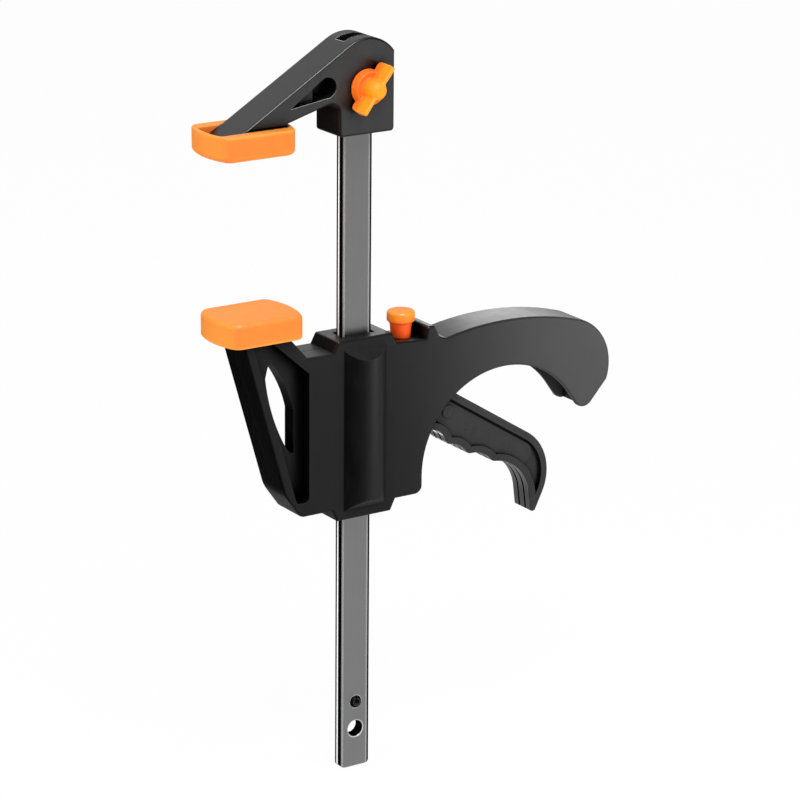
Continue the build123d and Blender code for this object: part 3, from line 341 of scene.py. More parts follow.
# %% Orange
RUBBER_IOR = 1.50
ABS_IOR = 1.54
COLOUR_CLOUD_MM = 9
SMEAR_MM = 3.5
SMEAR_STRETCH = (1, 1, 0.4)
LIGHT_REACH = 1.0 * MM
LIGHT_REACH_SHARES = (1.0, 0.4, 0.12)
# Faces turned this way are painted paler as painted light; the pairs below set that and the painted edge
# highlight.
LIT_SIDE = (-0.6, 0.5, 0.6)
FACING_LIT_SIDE = (-0.3, 0.6)
EDGE_LIGHT_TURN = (0.003, 0.10)
EDGE_LIGHT_SHARE = 0.85
print("smears on the orange parts are", SMEAR_MM, "mm wide")


def most_of(tree, *masks):
    """The largest of several masks."""
    most = masks[0]
    for mask in masks[1:]:
        most = add(tree, "Math", most, mask, operation="MAXIMUM")
    return most


def orange(name, deep, middle, painted_light_colour, rough, ior, glow,
           grain_mm=0.35, grain_depth=0.01, edge_mm=1.6, sides=0.35):
    """Orange moulding, clouded from deep to middle, with a painted highlight on edges and painted light, by
    the share sides, on faces turned left, back and up.
    """
    material, tree, shader = new_material(name)
    place = millimetres(tree)
    clouds = add(tree, "TexNoise", place, Scale=1 / COLOUR_CLOUD_MM, Detail=3)
    body = add(tree, "ValToRGB", clouds, stops=((NOISE_LOW, deep), (NOISE_HIGH, middle)))
    # Painted highlight on the edges, and painted light on the faces turned left, back and up.
    edges = edge_mask(tree, edge_mm, *EDGE_LIGHT_TURN)
    painted_edge_light = add(tree, "Math", edges, EDGE_LIGHT_SHARE, operation="MULTIPLY")
    normal = add(tree, "TexCoord").outputs["Normal"]
    facing = add(tree, "VectorMath", normal, LIT_SIDE, operation="DOT_PRODUCT")
    through = add(tree, "MapRange", facing, *FACING_LIT_SIDE, 0.0, sides)
    colour = add(tree, "Mix", most_of(tree, painted_edge_light, through), body, linear(painted_light_colour), data_type="RGBA")
    grain = add(tree, "TexNoise", place, Scale=1 / grain_mm, Detail=3, Roughness=0.55)
    smears = add(tree, "TexNoise", millimetres(tree, SMEAR_STRETCH), Scale=1 / SMEAR_MM, Detail=3)
    fill(tree, shader, Base_Color=colour, IOR=ior,
         Roughness=add(tree, "MapRange", smears, NOISE_LOW, NOISE_HIGH, rough - 0.06, rough + 0.08),
         Subsurface_Weight=glow, Subsurface_Scale=LIGHT_REACH, Subsurface_Radius=LIGHT_REACH_SHARES,
         Normal=add(tree, "Bump", 1.0, grain_depth * MM, Height=grain))
    return material, tree, shader, colour


# %% [markdown]
# The wing head is yellower on its boss and wings than on the disc under them, its colour changing with the
# distance from the seat. The button's stem is painted a deeper orange than its cap as painted shade, which
# grows with the depth below the top.

# %% Orange finishes
# Heights off the wing screw's seat, and then depths below the button's top.
WING_YELLOW_FROM_MM = 5.5
DISC_DEEP_TO_MM = 2.6
DISC_DEEP_SHARE = 0.8
CAP_DEPTH_MM = 1.0
STEM_DEPTH_MM = 5.0


def wing_plastic():
    """The wing head's ABS, deeper in colour on the disc than on the wings."""
    material, tree, shader, colour = orange("orange_wing_abs", "#ff9408", "#ff9c0c", "#ffe6b0",
                                            0.6, ABS_IOR, 0.1, edge_mm=0.3, sides=0.0)
    seat_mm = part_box("wing_screw_head")[1].y / MM
    across = add(tree, "SeparateXYZ", millimetres(tree)).outputs["Y"]
    stand = add(tree, "Math", seat_mm, across, operation="SUBTRACT")
    disc = add(tree, "MapRange", stand, WING_YELLOW_FROM_MM, DISC_DEEP_TO_MM,
               interpolation_type="SMOOTHSTEP")
    share = add(tree, "Math", disc, DISC_DEEP_SHARE, operation="MULTIPLY")
    deeper = add(tree, "Mix", share, colour, linear("#ff6a10"), data_type="RGBA")
    fill(tree, shader, Base_Color=deeper, Specular_IOR_Level=0.3)
    return material


def button_plastic():
    """The button's ABS, with painted shade that deepens its colour down the stem."""
    material, tree, shader, colour = orange("orange_button_abs", "#ff8212", "#ff8c16", "#ffac30",
                                            0.36, ABS_IOR, 0.15)
    top_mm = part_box("release_button")[1].z / MM
    height = add(tree, "SeparateXYZ", millimetres(tree)).outputs["Z"]
    # Painted shade: the stem is painted a deeper orange below the cap.
    stem_shade = add(tree, "MapRange", height, top_mm - CAP_DEPTH_MM, top_mm - STEM_DEPTH_MM,
               interpolation_type="SMOOTHSTEP")
    fill(tree, shader, Base_Color=add(tree, "Mix", stem_shade, colour, linear("#ff5a12"), data_type="RGBA"))
    return material


pad_rubber = orange("orange_pad_rubber", "#ff7a1e", "#ff8425", "#ffb440", 0.5, RUBBER_IOR, 0.25,
                    grain_mm=0.4, grain_depth=0.015)[0]
wing_abs = wing_plastic()
button_abs = button_plastic()
print("orange:", pad_rubber.name, wing_abs.name, button_abs.name)

# %% [markdown]
# ## The metals
# The plates and casing screws are black oxided and the nut, stud, washer and trigger pin are
# zinc plated: both are thin skins on steel. They are mottled by crystals far too fine to draw,
# so the mottle is about 0.5 mm, coarse enough to break up a reflection. The springs are oiled
# wire. Oxide gives a dark soft sheen, zinc a cool grey gleam and the oiled wire a warmer one.
# The stop pin is a rolled spring pin, black oxided, whose wall's end is a grey ring. One
# function makes every metal, as only colours, roughness and grain differ.

# %% Metals
STAIN_MM = 11
STREAK_SHARE = 0.6
# How far out the ring begins and ends, where 1 is 2 mm from the pin's axis.
PIN_RING_STOPS = ((0.5, "#000000"), (0.6, "#ffffff"), (0.72, "#ffffff"), (0.82, "#000000"))
pin_low, pin_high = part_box("bar_stop_pin")
PIN_HEIGHT = (pin_low.z + pin_high.z) / 2


def metal(name, dark, light, rough, streak_mm, depth_mm, stretch=(1, 1, 1)):
    """A metal with streaks or spots; a small stretch draws them out along its axis."""
    material, tree, shader = new_material(name)
    drawn = millimetres(tree, stretch)
    streaks = add(tree, "TexNoise", drawn, Scale=1 / streak_mm, Detail=4, Roughness=0.6)
    stains = add(tree, "TexNoise", millimetres(tree), Scale=1 / STAIN_MM, Detail=3)
    mixed = weighed(tree, streaks, STREAK_SHARE, stains)
    colour = add(tree, "ValToRGB", mixed, stops=((CLOUD_LOW, dark), (CLOUD_HIGH, light)))
    fill(tree, shader, Base_Color=colour, Metallic=1.0,
         Roughness=add(tree, "MapRange", mixed, NOISE_LOW, NOISE_HIGH, *rough),
         Normal=add(tree, "Bump", 1.0, depth_mm * MM, Height=streaks))
    return material, tree, shader, colour


def off_axis(tree, parts, height):
    """Distance in mm from the axis of a cross hole at that height; parts are X, Y and Z in mm."""
    rise = add(tree, "Math", parts["Z"], height / MM, operation="SUBTRACT")
    squares = [add(tree, "Math", side, side, operation="MULTIPLY") for side in (parts["X"], rise)]
    return add(tree, "Math", add(tree, "Math", *squares, operation="ADD"), operation="SQRT")


def spring_pin_oxide():
    """Black oxide with a grey ring where the pin's rolled wall ends."""
    material, tree, shader, colour = metal("black_oxide_spring_pin", "#141415", "#1e1e20",
                                           (0.5, 0.6), 0.5, 0.01)
    parts = add(tree, "SeparateXYZ", millimetres(tree)).outputs
    spread = add(tree, "Math", off_axis(tree, parts, PIN_HEIGHT), 0.5, operation="MULTIPLY")
    ring = add(tree, "ValToRGB", spread, stops=PIN_RING_STOPS)
    fill(tree, shader, Base_Color=add(tree, "Mix", ring, colour, linear("#6a6a6c"), data_type="RGBA"))
    return material


black_oxide = metal("black_oxide_steel", "#242426", "#37373a", (0.35, 0.5), 0.5, 0.01)[0]
pin_oxide = spring_pin_oxide()
zinc_plate = metal("zinc_plated_steel", "#a9abae", "#c2c4c6", (0.24, 0.36), 0.6, 0.008)[0]
spring_wire = metal("oiled_spring_wire", "#6d6a66", "#8a8783", (0.25, 0.4), 0.4, 0.006)[0]
print("metals:", black_oxide.name, pin_oxide.name, zinc_plate.name, spring_wire.name)

# %% [markdown]
# ## The solids that stay
# A solid of the frame whose shape is right keeps its shape and only takes a finish. The bar, the
# pads, the wing head and the springs are drawn again further on, and their solids are hidden.

# %% Finish the CAD nodes
FINISHES = {
    "bar": zinc_plate, "bar_stop_pin": pin_oxide, "fixed_jaw": jaw_nylon,
    "fixed_jaw_pad": pad_rubber, "movable_jaw_pad": pad_rubber,
    "wing_screw_nut": zinc_plate, "wing_screw_head": wing_abs, "wing_screw_stud": zinc_plate,
    "casing_front": casing_nylon, "casing_back": casing_nylon, "casing_screws": black_oxide,
    "trigger": trigger_nylon, "trigger_pin": zinc_plate,
    "drive_plate_upper": black_oxide, "drive_plate_lower": black_oxide, "drive_washer": zinc_plate,
    "drive_spring": spring_wire, "brake_plate": black_oxide, "brake_spring": spring_wire,
    "release_button": button_abs,
}
for node_name, material in FINISHES.items():
    solid = nodes[node_name]
    solid.data.materials.clear()
    solid.data.materials.append(material)
print("finished", len(FINISHES), "nodes")

# %% [markdown]
# ## Building by rings
# Every piece that is drawn again is a skin over rings of points: the bar's section repeated up
# its length, a pad's outline going round its lip, a spring's wire section following the coil.
# One function skins the rings, and the rest round, cut and shade what comes out.

# %% Mesh helpers
UPWARDS = Vector((0, 0, 1))
FLAT_FACE_WEIGHT = 100


def mesh_object(name, work):
    """A new object from a bmesh, linked to the scene."""
    mesh = bpy.data.meshes.new(name)
    work.to_mesh(mesh)
    work.free()
    made = bpy.data.objects.new(name, mesh)
    bpy.context.scene.collection.objects.link(made)
    return made


def skin(name, rings):
    """A closed solid through rings with equal numbers of points, and a flat face over each end."""
    work = bmesh.new()
    loops = [[work.verts.new(point) for point in ring] for ring in rings]
    for first, second in zip(loops, loops[1:]):
        for corner in range(len(first)):
            after = (corner + 1) % len(first)
            work.faces.new((first[corner], first[after], second[after], second[corner]))
    work.faces.new(loops[0][::-1])
    work.faces.new(loops[-1])
    bmesh.ops.recalc_face_normals(work, faces=work.faces)
    return mesh_object(name, work)


def lathe(name, profile, steps, centre, axis):
    """A solid turned round a level axis: profile is (radius, along) from one end to the other."""
    across = axis.cross(UPWARDS)
    rings = []
    for radius, along in profile:
        turns = [2 * math.pi * step / steps for step in range(steps)]
        spokes = [UPWARDS * math.cos(turn) + across * math.sin(turn) for turn in turns]
        rings.append([centre + axis * along + spoke * radius for spoke in spokes])
    return skin(name, rings)


def arc(middle, radius, start, end, steps):
    """Points of a round stretch from one angle to another, both included."""
    turns = [start + (end - start) * step / steps for step in range(steps + 1)]
    return [(middle[0] + radius * math.cos(turn), middle[1] + radius * math.sin(turn)) for turn in turns]


def quarter(radius, steps):
    """Insets and drops of a rounded edge, from the flat face down to the wall."""
    turns = [math.pi / 2 * step / steps for step in range(steps + 1)]
    return [(radius * (1 - math.sin(turn)), radius * (1 - math.cos(turn))) for turn in turns]


def apply_modifiers(thing):
    """Turns the object's modifiers into its mesh."""
    graph = bpy.context.evaluated_depsgraph_get()
    finished = bpy.data.meshes.new_from_object(thing.evaluated_get(graph))
    thing.modifiers.clear()
    thing.data = finished


def soften(thing, sharp_degrees):
    """Smooth shading that keeps wide flat faces flat and real corners sharp."""
    thing.data.shade_smooth()
    thing.data.set_sharp_from_angle(angle=math.radians(sharp_degrees))
    weights = thing.modifiers.new("flat faces", "WEIGHTED_NORMAL")
    weights.keep_sharp = True
    weights.weight = FLAT_FACE_WEIGHT
    apply_modifiers(thing)


def cut(thing, tools):
    """Takes each tool's volume out of the thing, then removes the tool."""
    for tool in tools:
        difference = thing.modifiers.new("cut", "BOOLEAN")
        difference.operation = "DIFFERENCE"
        difference.solver = "EXACT"
        difference.object = tool
    apply_modifiers(thing)
    for tool in tools:
        bpy.data.objects.remove(tool)


print("mesh helpers ready")

# %% [markdown]
# ## The bar
# The real bar is flat steel with softly rounded long edges. The solid in the frame has sharp ones, so a
# closer bar replaces it: a section with rounded corners drawn out to the same length, with the same three
# cross holes, each broken by a small chamfer, which the finish marks with a painted highlight. A bevel of
# the solid would be shorter to write, but it would round the holes' rims as much as the edges.

# %% Build the bar
BAR_EDGE = 0.75 * MM
BAR_EDGE_STEPS = 6
BAR_END_CORNER = 1.1 * MM
BAR_END_STEPS = 5
BAR_SHARP_DEGREES = 25
END_HOLE_RADIUS = 3.1 * MM
END_HOLE_FROM_END = 14.8 * MM
PIN_HOLE_RADIUS = 2.22 * MM
HOLE_CHAMFER = 0.3 * MM
HOLE_STEPS = 64
bar_low, bar_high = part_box("bar")
bar_holes = (
    (END_HOLE_FROM_END, END_HOLE_RADIUS),
    (bar_high.z - END_HOLE_FROM_END, END_HOLE_RADIUS),
    (PIN_HEIGHT, PIN_HOLE_RADIUS),
)


def bar_section(inset):
    """Points round the bar's section, with its narrow sides moved in by the inset."""
    points = []
    for sign_x, sign_y, start in ((1, 1, 0), (-1, 1, 90), (-1, -1, 180), (1, -1, 270)):
        middle = (sign_x * (bar_high.x - inset - BAR_EDGE), sign_y * (bar_high.y - BAR_EDGE))
        points += arc(middle, BAR_EDGE, math.radians(start), math.radians(start + 90), BAR_EDGE_STEPS)
    return points


def hole_tool(height, radius):
    """What a drill and a countersink take out of the bar, from its front to its back."""
    half = bar_high.y
    wide = radius + 2 * HOLE_CHAMFER
    profile = [(wide, -half - HOLE_CHAMFER), (radius, -half + HOLE_CHAMFER),
               (radius, half - HOLE_CHAMFER), (wide, half + HOLE_CHAMFER)]
    return lathe("hole", profile, HOLE_STEPS, Vector((0, 0, height)), Vector((0, 1, 0)))


def make_bar():
    """The drawn bar with rounded long edges, rounded end corners and chamfered holes."""
    corners = quarter(BAR_END_CORNER, BAR_END_STEPS)
    levels = [(bar_low.z + rise, inset) for inset, rise in corners]
    levels += [(bar_high.z - drop, inset) for inset, drop in corners[::-1]]
    made = skin("drawn_bar", [[(x, y, level) for x, y in bar_section(inset)] for level, inset in levels])
    cut(made, [hole_tool(height, radius) for height, radius in bar_holes])
    soften(made, BAR_SHARP_DEGREES)
    return made


bar = make_bar()
print("bar in mm:", in_mm(bar_high - bar_low), "holes:", len(bar_holes), "faces:", len(bar.data.polygons))

# %% [markdown]
# The bar's finish follows its own geometry. The broad faces are cold drawn and ground grey along their
# length. A thin painted highlight runs along each broad face's edges, and the rounded edges and narrow
# sides are painted black as a painted dark reflection, the jaws' side with a white painted reflection
# strip. Hole rims carry a bright painted highlight and hole walls are painted black as painted shade. These
# painted marks are drawn as a coat that isn't metallic. The grinding lines are 0.22 mm apart, some four
# times too coarse, so that they show.

# %% Bar finish
BEYOND_MM = 1.0
LINE_FROM_JAW_SIDE_MM = (0.1, 0.7)
LINE_FROM_HANDLE_EDGE_MM = (0.85, 0.3)
STRIP_ACROSS_MM = (0.15, 1.0)
RIM_OUTSIDE_HOLE_MM = (0.1, 0.4)
HOLE_WALL_MM = 0.08
GRINDING_MM = 0.22
GRINDING_STRETCH = (1, 1, 0.012)
# Paints of the bar: black for painted dark reflections and shade, greys for painted highlights, white for a
# painted reflection.
DARK_REFLECTION_AND_SHADE_BLACK = "#080809"
EDGE_HIGHLIGHT_GREY = "#8c8c8c"
RIM_HIGHLIGHT_GREY = "#c4c4c4"
REFLECTION_STRIP_WHITE = "#fafafa"


def band(tree, value, low, high, soft=0.05):
    """1 where value is between low and high millimetres, with soft ends."""
    rise = add(tree, "MapRange", value, low - soft, low + soft)
    fall = add(tree, "MapRange", value, high - soft, high + soft, 1.0, 0.0)
    return add(tree, "Math", rise, fall, operation="MULTIPLY")


def bar_steel():
    """Ground and drawn bar steel, with painted highlights, painted dark reflections and painted shade that
    follow the section and the holes.
    """
    material, tree, shader, colour = metal("drawn_bar_steel", "#c4c4c5", "#cdcdce", (0.30, 0.38),
                                           GRINDING_MM, 0.003, GRINDING_STRETCH)
    parts = add(tree, "SeparateXYZ", millimetres(tree)).outputs
    edge = BAR_EDGE / MM
    side = bar_high.x / MM
    face = bar_high.y / MM
    either_face = add(tree, "Math", parts["Y"], operation="ABSOLUTE")
    # Painted highlights: thin light lines along the broad faces' edges.
    on_face = band(tree, either_face, face - edge, face + BEYOND_MM)
    jaw_edge_highlight = band(tree, parts["X"], *(mm - side for mm in LINE_FROM_JAW_SIDE_MM))
    jaw_edge_highlight = add(tree, "Math", on_face, jaw_edge_highlight, operation="MULTIPLY")
    handle_edge_highlight = band(tree, parts["X"], *(side - edge - mm for mm in LINE_FROM_HANDLE_EDGE_MM))
    light = most_of(tree, jaw_edge_highlight, handle_edge_highlight)

    # Painted dark reflection: the rounded edges and narrow sides are painted black.
    handle_side = band(tree, parts["X"], side - edge - LINE_FROM_HANDLE_EDGE_MM[1], side + BEYOND_MM)
    jaw_side = band(tree, parts["X"], -side - BEYOND_MM, LINE_FROM_JAW_SIDE_MM[0] - side)
    at_back = band(tree, parts["Y"], face - edge, face + BEYOND_MM)
    at_jaws = band(tree, parts["X"], -side - BEYOND_MM, edge - side)
    back_edge = add(tree, "Math", at_back, at_jaws, operation="MULTIPLY")
    # Painted reflection: a white strip down the jaws' narrow side.
    reflection_strip = band(tree, parts["Y"], *STRIP_ACROSS_MM, soft=0.08)
    reflection_strip = add(tree, "Math", jaw_side, reflection_strip, operation="MULTIPLY")

    holes = [(off_axis(tree, parts, height), radius / MM) for height, radius in bar_holes]
    # Painted shade: the hole walls are painted black.
    hole_shade = [band(tree, spread, -BEYOND_MM, radius + HOLE_WALL_MM) for spread, radius in holes]
    # Painted highlights: bright rings round the holes' rims.
    rim_highlights = [band(tree, spread, *(radius + mm for mm in RIM_OUTSIDE_HOLE_MM)) for spread, radius in holes]
    rim_highlights = most_of(tree, *rim_highlights)
    # All that is painted black: dark reflections on edges and sides, and shade in the holes.
    painted_darkness = most_of(tree, handle_side, jaw_side, back_edge, *hole_shade)

    paints = ((painted_darkness, DARK_REFLECTION_AND_SHADE_BLACK), (light, EDGE_HIGHLIGHT_GREY), (rim_highlights, RIM_HIGHLIGHT_GREY), (reflection_strip, REFLECTION_STRIP_WHITE))
    for mask, paint in paints:
        colour = add(tree, "Mix", mask, colour, linear(paint), data_type="RGBA")
    # The painted marks are a coat that isn't metallic, and the black one also dims the reflection.
    coated = most_of(tree, reflection_strip, light, painted_darkness, rim_highlights)
    dull = add(tree, "Math", painted_darkness, FULL_SPECULAR, operation="MULTIPLY")
    fill(tree, shader, Base_Color=colour,
         Metallic=add(tree, "Math", 1.0, coated, operation="SUBTRACT"),
         Specular_IOR_Level=add(tree, "Math", FULL_SPECULAR, dull, operation="SUBTRACT"))
    return material


bar.data.materials.append(bar_steel())
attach(bar, "frame")
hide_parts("bar")
print("bar finished:", bar.data.materials[0].name)

# %% [markdown]
# ## The rubber pads
# Each pad is a cup whose two ends swell outwards. It is drawn as rings that climb the outer
# wall, turn over the rim and go down into the pocket. Soft rubber has no sharp corner, so
# every edge is rounded. Rings give each edge its own radius, which one bevel would not.

# %% Pad measurements
PAD_HALF_WIDTH = 13.0 * MM
PAD_BULGE = 3.0 * MM
PAD_CORNER = 4.0 * MM
PAD_CORNER_STEPS = 8
PAD_FACE_ROUND = 1.9 * MM
PAD_FACE_STEPS = 6
PAD_RIM_ROUND = 0.5 * MM
PAD_RIM_STEPS = 4
PAD_END_WALL = 1.7 * MM
PAD_FLOOR = 3.0 * MM
PAD_SHARP_DEGREES = 50
POCKET_HALF_WIDTH = 8.15 * MM
POCKET_CORNER = 1.2 * MM
pad_low, pad_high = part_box("movable_jaw_pad")
PAD_CROWN = (pad_high.x - pad_low.x) / 2
PAD_HEIGHT = pad_high.z - pad_low.z
SWELL_RADIUS = (PAD_HALF_WIDTH ** 2 + PAD_BULGE ** 2) / (2 * PAD_BULGE)
print("pad in mm:", in_mm((2 * PAD_CROWN, 2 * PAD_HALF_WIDTH, PAD_HEIGHT)), "swell:", in_mm([SWELL_RADIUS]))


# %% Build the pads
def pad_ring(half_width, end_inset, corner, inset):
    """Points round a pad's plan: two long sides, two swollen ends and four round corners."""
    swell = SWELL_RADIUS - end_inset - corner
    middle = PAD_CROWN - SWELL_RADIUS
    reach = half_width - corner
    tilt = math.asin(reach / swell)
    round_x = middle + swell * math.cos(tilt)
    out = corner - inset
    half = arc((middle, 0), swell + out, -tilt, tilt, 2 * PAD_CORNER_STEPS)
    half += arc((round_x, reach), out, tilt, math.pi / 2, PAD_CORNER_STEPS)[1:]
    half += arc((-round_x, reach), out, math.pi / 2, math.pi - tilt, PAD_CORNER_STEPS)[:-1]
    return half + [(-x, -y) for x, y in half]


def make_pad(name, node_name, up):
    """One rubber cup over a jaw's foot; up is 1 where its closed face looks up, else -1."""
    low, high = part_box(node_name)
    face = high.z if up > 0 else low.z
    centre_x = (low.x + high.x) / 2
    outer = (PAD_HALF_WIDTH, 0, PAD_CORNER)
    inner = (POCKET_HALF_WIDTH, PAD_END_WALL, POCKET_CORNER)
    rim = quarter(PAD_RIM_ROUND, PAD_RIM_STEPS)
    path = [(outer, inset, drop) for inset, drop in quarter(PAD_FACE_ROUND, PAD_FACE_STEPS)]
    path += [(outer, inset, PAD_HEIGHT - rise) for inset, rise in rim[::-1]]
    path += [(inner, -inset, PAD_HEIGHT - rise) for inset, rise in rim]
    path += [(inner, 0, PAD_FLOOR)]
    rings = [[(centre_x + x, y, face - up * drop) for x, y in pad_ring(*plan, inset)]
             for plan, inset, drop in path]
    pad = skin(name, rings)
    soften(pad, PAD_SHARP_DEGREES)
    pad.data.materials.append(pad_rubber)
    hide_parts(node_name)
    return pad


fixed_pad = make_pad("fixed_pad_cap", "fixed_jaw_pad", -1)
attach(fixed_pad, "frame")
movable_pad = make_pad("movable_pad_cap", "movable_jaw_pad", 1)
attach(movable_pad, "slider")
print("pads:", len(fixed_pad.data.polygons), "faces each")

# %% [markdown]
# ## The wing screw's head
# The head is one moulding: a flat disc, a round boss and two wings that flare out from it.
# The pieces are joined, remeshed and smoothed, so that they flow into one another as plastic
# does in a mould. Rounded unions of solids would need a radius for each of the many joints.

# %% Wing head measurements
WING_TILT = math.radians(37.0)
WING_REACH = 10.1 * MM
WING_THICKNESS_AT_SEAT = 1.9
WING_THICKNESS_AT_TOP = 0.45
WING_FLARE_AT_AXIS = 0.85
WING_FLARE_GAIN = 0.35
# Points round one wing in mm: out from the screw's axis, and off the seat.
WING_TOP_MM = ((0.0, 8.6), (3.0, 8.3), (6.5, 8.5), (8.8, 8.5), (9.6, 8.2), (9.8, 7.0))
WING_UNDERSIDE_MM = ((9.7, 2.4), (9.2, 1.5), (8.2, 1.1), (0.0, 0.7))
DISC_RADIUS = 6.6 * MM
DISC_THICKNESS = 3.2 * MM
DISC_TAPER = 0.7 * MM
DISC_EDGE = 0.2 * MM
DISH_EDGE = 0.9 * MM
DISH_DEPTH = 0.3 * MM
DISC_STEPS = 64
BOSS_RADIUS = 3.9 * MM
BOSS_HEIGHT = 9.0 * MM
# The boss's domed top in mm: in from its radius, and down from its height.
BOSS_DOME_MM = ((0.3, 2.5), (0.9, 1.0), (2.2, 0.0))
BOSS_STEPS = 48
HEAD_VOXEL = 0.18 * MM
HEAD_SMOOTHING = 3
HEAD_SMOOTHING_SHARE = 0.5
head_low, head_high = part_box("wing_screw_head")
head_seat = Vector((0, head_high.y, (head_low.z + head_high.z) / 2))
print("wing head's seat in mm:", in_mm(head_seat))


# %% Build the wing head
def wing_slab(sign):
    """One wing: a slab that widens outwards from the axis and has a round end."""
    sides = []
    for side in (-1, 1):
        ring = []
        for reach_mm, height_mm in WING_TOP_MM + WING_UNDERSIDE_MM:
            reach = reach_mm * MM
            height = height_mm * MM
            thinned = height / BOSS_HEIGHT
            half = WING_THICKNESS_AT_SEAT + (WING_THICKNESS_AT_TOP - WING_THICKNESS_AT_SEAT) * thinned
            flare = side * half * MM * (WING_FLARE_AT_AXIS + WING_FLARE_GAIN * reach / WING_REACH)
            along = Vector((math.sin(WING_TILT), 0, math.cos(WING_TILT))) * reach * sign
            across = Vector((math.cos(WING_TILT), 0, -math.sin(WING_TILT))) * flare
            ring.append(head_seat + along + across + Vector((0, -height, 0)))
        sides.append(ring)
    return skin("wing", sides)


def wing_head_pieces():
    """The disc, the boss and the two wings, overlapping."""
    outward = Vector((0, -1, 0))
    face_radius = DISC_RADIUS - DISC_TAPER
    disc_profile = [
        (DISC_RADIUS - DISC_EDGE, 0),
        (DISC_RADIUS, DISC_EDGE),
        (face_radius, DISC_THICKNESS - DISC_EDGE),
        (face_radius - DISC_EDGE, DISC_THICKNESS),
        (face_radius - DISH_EDGE, DISC_THICKNESS - DISH_DEPTH),
    ]
    boss_profile = [(BOSS_RADIUS, 0)]
    boss_profile += [(BOSS_RADIUS - inset * MM, BOSS_HEIGHT - drop * MM) for inset, drop in BOSS_DOME_MM]
    disc = lathe("disc", disc_profile, DISC_STEPS, head_seat, outward)
    boss = lathe("boss", boss_profile, BOSS_STEPS, head_seat, outward)
    return [disc, boss, wing_slab(1), wing_slab(-1)]


def make_wing_head():
    """Joins disc, boss and wings, then remeshes and smooths them into one moulding."""
    work = bmesh.new()
    for piece in wing_head_pieces():
        work.from_mesh(piece.data)
        bpy.data.objects.remove(piece)
    head = mesh_object("wing_head", work)
    remesh = head.modifiers.new("one skin", "REMESH")
    remesh.mode = "VOXEL"
    remesh.voxel_size = HEAD_VOXEL
    smooth = head.modifiers.new("flow", "SMOOTH")
    smooth.factor = HEAD_SMOOTHING_SHARE
    smooth.iterations = HEAD_SMOOTHING
    apply_modifiers(head)
    head.data.shade_smooth()
    return head


wing_head = make_wing_head()
wing_head.data.materials.append(wing_abs)
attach(wing_head, "wing_screw")
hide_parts("wing_screw_head")
print("wing head faces:", len(wing_head.data.polygons))

# %% [markdown]
# ## The springs
# The two coil springs inside the body shorten as the trigger and the button move. Each is drawn again as a
# wire along a helix, in the place of its solid.
# A helix curve with a round bevel would look the same, but the rings need no conversion.

# %% Build the springs
COIL_STEPS = 32
WIRE_SIDES = 10


def make_coil(name, node_name, wire, turns, body):
    """A round wire of that radius wound along a helix that fills its solid's box."""
    low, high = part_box(node_name)
    middle = Vector(((low.x + high.x) / 2, (low.y + high.y) / 2, low.z + wire))
    mean_radius = (high.x - low.x) / 2 - wire
    rise = high.z - low.z - 2 * wire
    slope = rise / (2 * math.pi * turns * mean_radius)
    count = turns * COIL_STEPS
    sides = [2 * math.pi * side / WIRE_SIDES for side in range(WIRE_SIDES)]
    rings = []
    for step in range(count + 1):
        angle = 2 * math.pi * step / COIL_STEPS
        outward = Vector((math.cos(angle), math.sin(angle), 0))
        onward = Vector((-math.sin(angle), math.cos(angle), slope)).normalized()
        upward = outward.cross(onward)
        core = middle + outward * mean_radius + Vector((0, 0, rise * step / count))
        rings.append([core + wire * (outward * math.cos(side) + upward * math.sin(side)) for side in sides])
    coil = skin(name, rings)
    coil.data.shade_smooth()
    coil.data.materials.append(spring_wire)
    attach(coil, body)
    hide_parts(node_name)
    return coil, low, high


DRIVE_WIRE_RADIUS = 0.6 * MM
DRIVE_TURNS = 8
drive_coil, coil_low, coil_high = make_coil("drive_coil", "drive_spring",
                                            DRIVE_WIRE_RADIUS, DRIVE_TURNS, "slider")
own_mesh(drive_coil)
print("drive spring:", len(drive_coil.data.polygons), "faces")

# %% [markdown]
# The brake plate swings about an edge, so it comes down over its spring by the distance from that edge
# times the swing's tangent.

# %% The brake spring
BRAKE_WIRE_RADIUS = 0.35 * MM
BRAKE_TURNS = 4
brake_coil, coil_low, coil_high = make_coil("brake_coil", "brake_spring",
                                            BRAKE_WIRE_RADIUS, BRAKE_TURNS, "slider")
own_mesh(brake_coil)

# %% [markdown]
# ## The studio
# The clamp stands on a plain white floor that runs back out of view. To the camera the floor
# and the world are white. Reflections see them greyer, and darker towards the left and the
# front, so that the black plastic stays black there, and soft lamps light the clamp itself.

# %% Floor and world
FLOOR_HALF = 12.0
FLOOR_DROP = 0.2 * MM
FLOOR_GLOW_SHARE = 0.93
FLOOR_REFLECTED = 0.30
FLOOR_PAINT = "#f2f2f2"
WHITE = (1, 1, 1, 1)
SKY_LIGHT = 0.8
BRIGHT_SIDE = (-0.02, 0.80, 0.60)
ROOM_DARK = 0.03
ROOM_BRIGHT = 0.85
ROOM_DARK_AT = 0.5
ROOM_BRIGHT_AT = 1.0


def seen_rays(tree, *kinds):
    """1 for rays of the given kinds, 0 for the rest."""
    path = add(tree, "LightPath").outputs
    return most_of(tree, *(path[kind] for kind in kinds))


